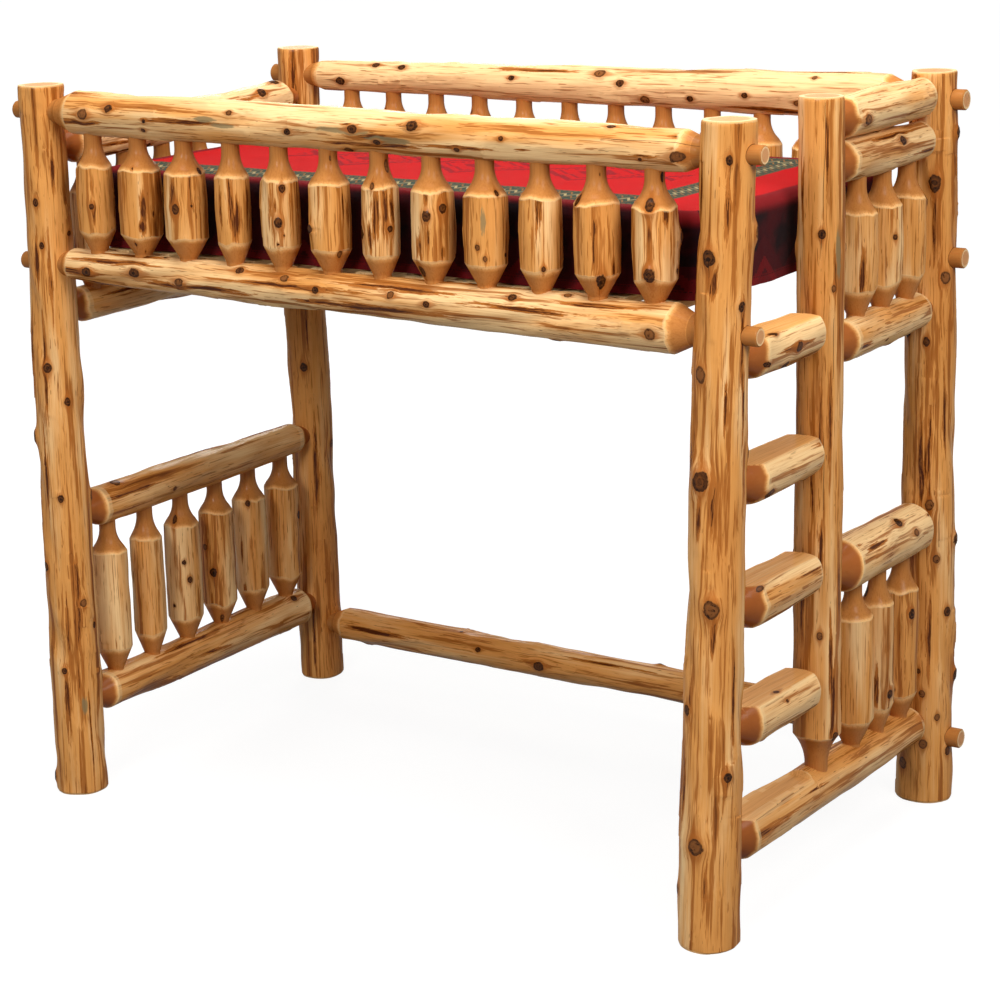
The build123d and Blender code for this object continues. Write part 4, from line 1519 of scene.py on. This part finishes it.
@dataclass
class Posts:
    """The four corner posts and the ladder's own post."""

    timber: Timber
    # The posts' tones sit browner than most rails': partly their own wood, partly painted shade on their upright
    # sides.
    tones: dict[str, float] = field(
        default_factory=lambda: {
            "front_left_post": 0.7, "front_right_post": 0.85, "back_left_post": 0.9, "back_right_post": 0.8
        }
    )
    bows: dict[str, tuple[float, float, float]] = field(
        default_factory=lambda: {"front_right_post": (-6 * MM, 1.2, 0.45), "back_left_post": (-14 * MM, 1.3, 0.3)}
    )

    def build(self) -> None:
        """Keep the five posts for building."""
        low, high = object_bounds()
        upright = {"level": True, "side_limits": (low[1], high[1]), "segments": 80, "knot_share": 0.6}
        for seed, (node, tone) in enumerate(self.tones.items()):
            bow = self.bows.get(node, (0.0, 1.0, 1.0))
            self.timber.add(node, 11 + seed, sway=4.0 * MM, tone=tone, bow=bow, **upright)
        self.timber.add("ladder_post", 15, sway=2.4 * MM, heart=0.4, tone=0.7, **upright)


@dataclass
class Rails:
    """The logs that run from post to post."""

    timber: Timber
    # back_guard_rail's low tone makes it pale: partly its own wood, partly a painted highlight on its top.
    tones: dict[str, float] = field(
        default_factory=lambda: {
            "front_guard_rail": 0.4, "front_bed_rail": 0.3, "back_guard_rail": 0.1, "back_bed_rail": 0.5,
            "back_stretcher": 0.6, "left_guard_rail": 0.1, "left_bed_rail": 0.4, "left_low_rail": 0.6,
            "left_foot_rail": 0.6, "right_guard_rail": 0.2, "right_second_guard_rail": 0.3,
            "right_bed_rail": 0.4, "right_low_rail": 0.15,
        }
    )

    def build(self) -> None:
        """Keep the rails for building."""
        for i, (node, tone) in enumerate(self.tones.items()):
            # The end rails' collars are cut browner: partly their heartwood, partly painted shade on those cones.
            heart = 0.85 if node.startswith(("left", "right")) else 0.3
            self.timber.add(node, 30 + i, tone=tone, heart=heart, sway=3.2 * MM)


@dataclass
class Ladder:
    """The rungs and the lowest step, planed flat on top."""

    timber: Timber
    rungs: int = 4
    tread_gap: float = 0.055  # from the end of the step's flat to the ladder post's axis

    def build(self) -> None:
        """Keep the rungs and the step rail for building."""
        for i in range(1, self.rungs + 1):
            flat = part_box(f"rung_{i}")[1].z
            self.timber.add(f"rung_{i}", 60 + i, segments=72, flat_z=flat, heart=0.9, tone=0.3)
        step = self.timber.add("step_rail", 66, segments=72, heart=0.9, tone=0.6)
        ladder_y = sum((corner.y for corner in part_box("ladder_post")), 0.0) / 2
        flat_end = ladder_y - self.tread_gap
        points = points_of(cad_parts["step_rail"].data)
        step.flat_z = float(points[points[:, 1] < flat_end - 2 * MM, 2].max())
        step.flat_end = flat_end - step.shape.start[1]


@dataclass
class Spindles:
    """The short turned logs of the guards and end panels."""

    timber: Timber
    per_side: int = 12

    def build(self) -> None:
        """Keep the spindles for building."""
        fine = {"segments": 48, "spacing": 6.0 * MM, "sway": 2.2 * MM}
        for side, seed in (("front", 100), ("back", 130)):
            for i in range(1, self.per_side + 1):
                self.timber.add(f"{side}_spindle_{i:02d}", seed + i, tone=0.45 + (i * 0.43) % 1 * 0.4, **fine)
        for i, panel in enumerate(("left_upper", "left_lower", "right_upper", "right_lower")):
            self.timber.add_panel(f"{panel}_spindles", 160 + 10 * i, tone=0.3 + (i * 0.31) % 1 * 0.4, **fine)


@dataclass
class Deck:
    """Slats, cleats and their screws, which keep their CAD shapes."""

    def dress(self) -> None:
        """Give the deck's nodes their materials."""
        pine, steel = SawnPine(), ZincSteel()
        self._cover(["slats"], pine.material("pine_slats", (26, 1.6, 26)))
        self._cover(["front_cleat", "back_cleat"], pine.material("pine_cleats", (1.6, 26, 26)))
        self._cover(["lag_screws", "slat_screws"], steel.material())

    @staticmethod
    def _cover(nodes: Iterable[str], material: Material) -> None:
        """Put one material on all the slots of some nodes.

        Args:
            nodes: Names of the nodes.
            material: What covers them.
        """
        for node in nodes:
            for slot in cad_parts[node].material_slots:
                slot.material = material


@dataclass
class Mattress:
    """A sprung mattress: a cover swollen by its filling, with piping round its upper and lower edges."""

    slack: float = 7.0 * MM  # how much smaller than its space the cover starts
    margin: float = 0.2 * MM  # and how near to that space's sides it may swell
    corner: float = 0.06
    edge: float = 0.024
    voxel: float = 0.017
    swell: float = 6.6 * MM
    pressure: float = 4.0
    frames: int = 16
    piping: float = 3.2 * MM
    piping_inset: float = 11.0 * MM  # from its space's sides to the middle of the cord

    def build(self, material: Material) -> Object:
        """Make the mattress and let it stand for its node.

        Args:
            material: The ticking.

        Returns:
            The finished object, riding on the bedding.
        """
        low, high = (np.array(corner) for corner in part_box("mattress"))
        piece = self._block(low + self.slack, high - self.slack)
        self._fill(piece)
        put_points(piece.data, np.clip(points_of(piece.data), low + self.margin, high - self.margin))
        with editing(piece):
            bpy.ops.mesh.subdivide(smoothness=0.6)
        low, high = low + self.piping_inset, high - self.piping_inset
        rings = [self._piping(low, high, height) for height in (low[2], high[2])]
        only(piece)
        for ring in rings:
            ring.select_set(True)
        bpy.ops.object.join()
        piece.data.materials.clear()
        piece.data.materials.append(material)
        bpy.ops.object.shade_smooth()
        hand_over(piece, Body.BEDDING, "mattress")
        return piece

    def _block(self, low: Array, high: Array) -> Object:
        """A block with rounded corners and edges, remeshed to even cells.

        Args:
            low: Lowest corner.
            high: Highest corner.

        Returns:
            The block.
        """
        add, middle = bpy.ops.mesh.primitive_cube_add, (low + high) / 2
        piece = primitive(add, "sprung_mattress", size=1, location=middle)
        piece.scale = high - low
        freeze(piece)
        self._soften(piece, lambda near, far: abs(near[2] - far[2]) > 0.05, self.corner, 6)
        self._soften(piece, lambda near, far: abs(near[2] - far[2]) < 1e-5, self.edge, 4)
        piece.data.remesh_voxel_size = self.voxel
        bpy.ops.object.voxel_remesh()
        return piece

    @staticmethod
    def _soften(piece: Object, wanted: Callable[..., bool], width: float, segments: int) -> None:
        """Bevel the edges whose two ends satisfy a test.

        Args:
            piece: The object to bevel.
            wanted: The test on two points.
            width: Width of the bevel.
            segments: Its number of steps.
        """
        points = points_of(piece.data)
        with editing(piece, "EDGE", [wanted(*points[list(edge.vertices)]) for edge in piece.data.edges]):
            bpy.ops.mesh.bevel(offset=width, segments=segments, affect="EDGES")

    def _fill(self, piece: Object) -> None:
        """Blow the cover up from inside as cloth, and hold each point within the swell.

        Args:
            piece: The cover.
        """
        scene = bpy.context.scene
        start = points_of(piece.data)
        only(piece)
        bpy.ops.object.modifier_add(type="CLOTH")
        cloth = piece.modifiers[-1]
        cloth.settings.use_pressure = True
        cloth.settings.uniform_pressure_force = self.pressure
        cloth.settings.effector_weights.gravity = 0
        cloth.point_cache.frame_end = self.frames
        for number in range(1, self.frames + 1):
            scene.frame_set(number)
        bpy.ops.object.modifier_apply(modifier=cloth.name)
        scene.frame_set(1)
        moved = points_of(piece.data) - start
        far = np.linalg.norm(moved, axis=1, keepdims=True)
        put_points(piece.data, start + moved * np.minimum(1, self.swell / np.maximum(far, 1e-9)))

    def _piping(self, low: Array, high: Array, height: float) -> Object:
        """A cord sewn round the cover at a height.

        Args:
            low: Lowest corner of the ring's box.
            high: Highest corner.
            height: Where the ring lies.

        Returns:
            The cord as a mesh.
        """
        add, middle = bpy.ops.mesh.primitive_plane_add, (*(low + high)[:2] / 2, height)
        ring = primitive(add, "piping", size=1, location=middle)
        ring.scale = (high[0] - low[0], high[1] - low[1], 1)
        freeze(ring)
        with editing(ring):
            bpy.ops.mesh.bevel(offset=self.corner - self.piping_inset + self.slack, segments=10, affect="VERTICES")
            bpy.ops.mesh.select_all(action="SELECT")
            bpy.ops.mesh.delete(type="ONLY_FACE")
        bpy.ops.object.convert(target="CURVE")
        ring.data.bevel_depth = self.piping
        ring.data.bevel_resolution = 2
        bpy.ops.object.convert(target="MESH")
        return bpy.context.object


@dataclass
class Bedspread:
    """A woven spread: its corners cut out and sewn, so that it hangs straight down all round."""

    cell: float = 9.6 * MM
    inset: float = 3.5 * MM  # from the node's outside to the middle of the cloth
    thickness: float = 3.2 * MM
    corner: float = 77.4 * MM
    edge: float = 37.4 * MM
    ripple: float = 1.3 * MM
    fold_out: float = 5.0 * MM
    fold_in: float = 1.2 * MM
    flutter: float = 0.09  # length of the small waves on the folds
    sag: float = 5.0 * MM  # how far the hem is drawn up at its highest
    seed: int = 7

    def __post_init__(self) -> None:
        """Work out the flat cloth from the node's box."""
        low, high = (np.array(corner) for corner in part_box("bedspread"))
        self.middle = (low + high) / 2
        self.top, self.hem = high[2] - self.inset, low[2]
        self.roll = self.edge - self.inset
        self.round = self.corner - self.edge
        self.flat_top = (high - low)[:2] / 2 - self.edge
        self.drop = self.top - self.roll - self.hem
        self.overhang = self.roll * math.pi / 2 + self.drop
        self.half = tuple(float(side) + self.overhang for side in self.flat_top)
        rng = np.random.default_rng(self.seed)
        self.folds = [(rng.uniform(0.11, 0.42), rng.uniform(0, TURN), rng.uniform(0.4, 1)) for _ in range(7)]
        self.creases = [
            (rng.uniform(8, 34), rng.uniform(0, math.pi), rng.uniform(0, TURN), rng.uniform(0.3, 1)) for _ in range(9)
        ]

    def build(self, material: Material, under: Object) -> None:
        """Drape the cloth and let it stand for its node.

        Args:
            material: The weave.
            under: What it lies on; not used.
        """
        lines = [self._lines(side) for side in self.flat_top]
        add, cells = bpy.ops.mesh.primitive_grid_add, [len(places) - 1 for places in lines]
        piece = primitive(add, "draped_bedspread", x_subdivisions=cells[0], y_subdivisions=cells[1], size=2)
        mesh = piece.data
        raw = points_of(mesh)
        cut = np.zeros(raw.shape)
        for i in range(2):
            cut[:, i] = lines[i][np.rint((raw[:, i] + 1) / 2 * (len(lines[i]) - 1)).astype(int)]
        put_points(mesh, cut)
        self._cut_corners(piece)
        flat = points_of(mesh)[:, :2]
        corners = np.empty(len(mesh.loops), np.int32)
        mesh.loops.foreach_get("vertex_index", corners)
        mesh.uv_layers.active.name = "flat"
        mesh.uv_layers["flat"].data.foreach_set("uv", flat[corners].astype(np.float32).ravel())
        put_points(mesh, self._draped(flat[:, 0], flat[:, 1]))
        self._sew(piece)
        mesh.materials.append(material)
        hand_over(piece, Body.BEDDING, "bedspread")

    def _lines(self, side: float) -> Array:
        """Places of the grid's lines across the flat cloth, closer round each corner.

        Args:
            side: Where the top's flat part ends.

        Returns:
            The places, from edge to edge.
        """
        parts = [0.0]
        for stop in (side - self.round, side, side + self.overhang):
            count = max(round((stop - parts[-1]) / self.cell), 1)
            parts.extend(np.linspace(parts[-1], stop, count + 1)[1:])
        return np.array([-place for place in parts[:0:-1]] + parts)

    def _cut_corners(self, piece: Object) -> None:
        """Take out the square of cloth at each corner.

        Args:
            piece: The flat cloth.
        """
        centres = [face.center[:2] for face in piece.data.polygons]
        with editing(piece, "FACE", (np.abs(centres) > self.flat_top).all(axis=1)):
            bpy.ops.mesh.delete(type="FACE")

    def _draped(self, p: Array, q: Array) -> Array:
        """Where each point of the flat cloth hangs.

        Args:
            p: Place along the bed on the flat cloth.
            q: Place across it.

        Returns:
            The points.
        """
        side = self.flat_top
        u = np.clip(np.abs(p) - side[0] + self.round, 0, self.round)
        v = np.clip(np.abs(q) - side[1] + self.round, 0, self.round)
        reach = np.maximum(u, v)
        share = np.minimum(u, v) / np.maximum(reach, 1e-9) * math.pi / 4
        turn = np.where(u >= v, share, math.pi / 2 - share)
        over = np.maximum(np.maximum(np.abs(p) - side[0], np.abs(q) - side[1]), 0)
        bent = np.minimum(over / self.roll, math.pi / 2)
        fallen = np.maximum(over - self.roll * math.pi / 2, 0)
        out = self.roll * np.sin(bent)
        down = self.roll * (1 - np.cos(bent)) + fallen

        on_end = np.abs(p) - side[0] > np.abs(q) - side[1]
        run = np.where(on_end, q, p)
        free = np.where(on_end, side[1], side[0]) - self.round - np.abs(run)
        sway = sum(size * np.sin(run * TURN / length + turn_at) for length, turn_at, size in self.folds) / 2.6
        sway = sway + 0.4 * np.sin(run * TURN / self.flutter + sway * 3) * np.clip(sway, 0, 1)
        hang = np.clip(fallen / self.drop, 0, 1) ** 1.2 * np.clip(free / 0.1, 0, 1)
        out = out + hang * np.where(sway > 0, np.minimum(sway, 1) * self.fold_out, sway.clip(-1) * self.fold_in)
        down = down - hang * np.abs(np.sin(run * 5.1 + 0.7)) * self.sag * (fallen / self.drop)

        rest = np.exp(-down / 0.02)
        wrinkle = np.zeros(p.shape)
        for rate, way, start, size in self.creases:
            wave = np.sin((p * math.cos(way) + q * math.sin(way)) * rate + start + 0.8 * np.sin(p * 7 + q * 5))
            wrinkle += size * (1 - 2 * np.abs(wave) ** 0.7)
        out_x, out_y = np.cos(turn) * (reach + out), np.sin(turn) * (reach + out)
        x = np.sign(p) * (np.minimum(np.abs(p), side[0] - self.round) + out_x)
        y = np.sign(q) * (np.minimum(np.abs(q), side[1] - self.round) + out_y)
        z = self.top - down + rest * np.clip(wrinkle / 3.0, -1, 1) * self.ripple
        return np.column_stack([x + self.middle[0], y + self.middle[1], z])

    def _sew(self, piece: Object) -> None:
        """Close the corner seams and give the cloth its thickness.

        Args:
            piece: The draped cloth.
        """
        with editing(piece):
            bpy.ops.mesh.remove_doubles(threshold=0.1 * MM)
            bpy.ops.mesh.normals_make_consistent(inside=False)
        bpy.ops.object.modifier_add(type="SOLIDIFY")
        wall = piece.modifiers[-1]
        wall.thickness, wall.offset = self.thickness, 0
        bpy.ops.object.modifier_apply(modifier=wall.name)
        bpy.ops.object.shade_smooth_by_angle(angle=math.radians(50))


@dataclass
class Bedding:
    """The mattress and the bedspread over it."""

    def build(self) -> None:
        """Make both pieces."""
        mattress = Mattress().build(MattressTicking().material())
        spread = Bedspread()
        spread.build(WovenSpread(spread.half, spread.overhang).material(), mattress)


# ------------------------------------------------------------------ studio
@dataclass
class Studio:
    """Pale floor, soft lights and the camera."""

    camera_at: tuple[float, float, float] = (3.8338, -5.6738, 2.6735)
    yaw: float = math.radians(-33.987)
    pitch: float = math.radians(-14.55)
    roll: float = math.radians(-1.353)
    lens: float = 92.66
    shift: tuple[float, float] = (0.0081, -0.0163)
    floor_grey: float = 0.16  # what the lamps light, under the glow that the camera sees
    ambient: float = 0.22  # light from all round

    def build(self) -> None:
        """Make the camera, lights, floor and surroundings."""
        self._camera()
        self._lights()
        self._floor()
        self._world()

    def _camera(self) -> None:
        """Set the camera up by its yaw, pitch and roll."""
        yaw, pitch, roll = self.yaw, self.pitch, self.roll
        ahead = Vector((math.sin(yaw) * math.cos(pitch), math.cos(yaw) * math.cos(pitch), math.sin(pitch)))
        right = Vector((math.cos(yaw), -math.sin(yaw), 0))
        up = right.cross(ahead)
        across = math.cos(roll) * right + math.sin(roll) * up
        above = -math.sin(roll) * right + math.cos(roll) * up
        data = bpy.data.cameras.new("camera")
        data.lens, data.sensor_width = self.lens, 36
        data.shift_x, data.shift_y = self.shift
        camera = bpy.data.objects.new("camera", data)
        camera.matrix_world = Matrix(
            [[across[i], above[i], -ahead[i], self.camera_at[i]] for i in range(3)] + [[0, 0, 0, 1]]
        )
        bpy.context.scene.collection.objects.link(camera)
        bpy.context.scene.camera = camera

    @staticmethod
    def _lamp(name: str, at: Sequence[float], aim: Sequence[float], size: float, power: float, colour: Rgb) -> None:
        """Add one square area lamp that faces a point.

        Args:
            name: The lamp's name.
            at: Where it stands.
            aim: The point it faces.
            size: Length of its side.
            power: Watts.
            colour: Colour of its light.
        """
        data = bpy.data.lights.new(name, "AREA")
        data.size, data.energy = size, power
        data.color = linear(colour)[:3]
        lamp = bpy.data.objects.new(name, data)
        lamp.location = at
        lamp.rotation_euler = (Vector(aim) - Vector(at)).to_track_quat("-Z", "Y").to_euler()
        bpy.context.scene.collection.objects.link(lamp)

    def _lights(self) -> None:
        """A large lamp high overhead, a key in front, a fill at the right and a weaker lamp behind."""
        self._lamp("overhead", (0.4, -1.0, 8.0), (0, 0, 1.0), 4.0, 420, (255, 252, 246))
        self._lamp("key", (1.2, -6.6, 4.2), (0, 0, 1.1), 1.8, 195, (255, 250, 243))
        self._lamp("fill", (4.4, -2.2, 4.4), (0, 0, 1.0), 2.2, 172, (255, 250, 243))
        self._lamp("back", (-3.8, 5.2, 3.4), (0, 0, 1.0), 2.0, 110, (255, 250, 243))

    def _floor(self) -> None:
        """A wide floor that the camera sees as white, with the bed's shadow on it."""
        floor = primitive(bpy.ops.mesh.primitive_plane_add, "floor", size=160, location=(0, 0, -0.0005))
        paint = Paint("floor")
        matt = {"Base Color": (*(self.floor_grey,) * 3, 1), "Roughness": 1.0, "Specular IOR Level": 0.0}
        paint.feed(paint.shader, matt)
        place = paint.spot()
        away = paint.node("ShaderNodeVectorMath", {"operation": "LENGTH"}, {0: place}, out=1)
        strength = paint.seen() * (0.9 + away.rise(1.3, 3.6) * 0.075)
        glow = paint.node("ShaderNodeEmission", None, {"Color": (1, 1, 1, 1), "Strength": strength})
        both = paint.node("ShaderNodeAddShader", None, {0: Signal(paint, paint.shader.outputs[0]), 1: glow})
        paint.tree.links.new(both.socket, paint.tree.nodes["Material Output"].inputs["Surface"])
        floor.data.materials.append(paint.material)
        floor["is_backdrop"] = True

    def _world(self) -> None:
        """Soft grey light all round, which the camera and reflections see as white."""
        world = bpy.data.worlds.new("studio")
        world.use_nodes = True
        bpy.context.scene.world = world
        paint = Paint("studio", world.node_tree)
        level = paint.node("ShaderNodeMapRange", None, {"Value": paint.seen(), "To Min": self.ambient})
        paint.feed(world.node_tree.nodes["Background"], {"Color": (1, 1, 1, 1), "Strength": level})


def main() -> None:
    """Build the bed's looks and the studio round it."""
    logging.basicConfig(level=logging.INFO, format="%(name)s: %(message)s")
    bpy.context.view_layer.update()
    bpy.context.scene.view_settings.view_transform = "Standard"
    Studio().build()
    timber = Timber(PeeledCedar().material(), CedarEnd().material())
    Posts(timber).build()
    Rails(timber).build()
    Ladder(timber).build()
    Spindles(timber).build()
    timber.join()
    timber.build()
    Deck().dress()
    Bedding().build()
    bpy.context.view_layer.update()


if __name__ == "__main__":
    main()
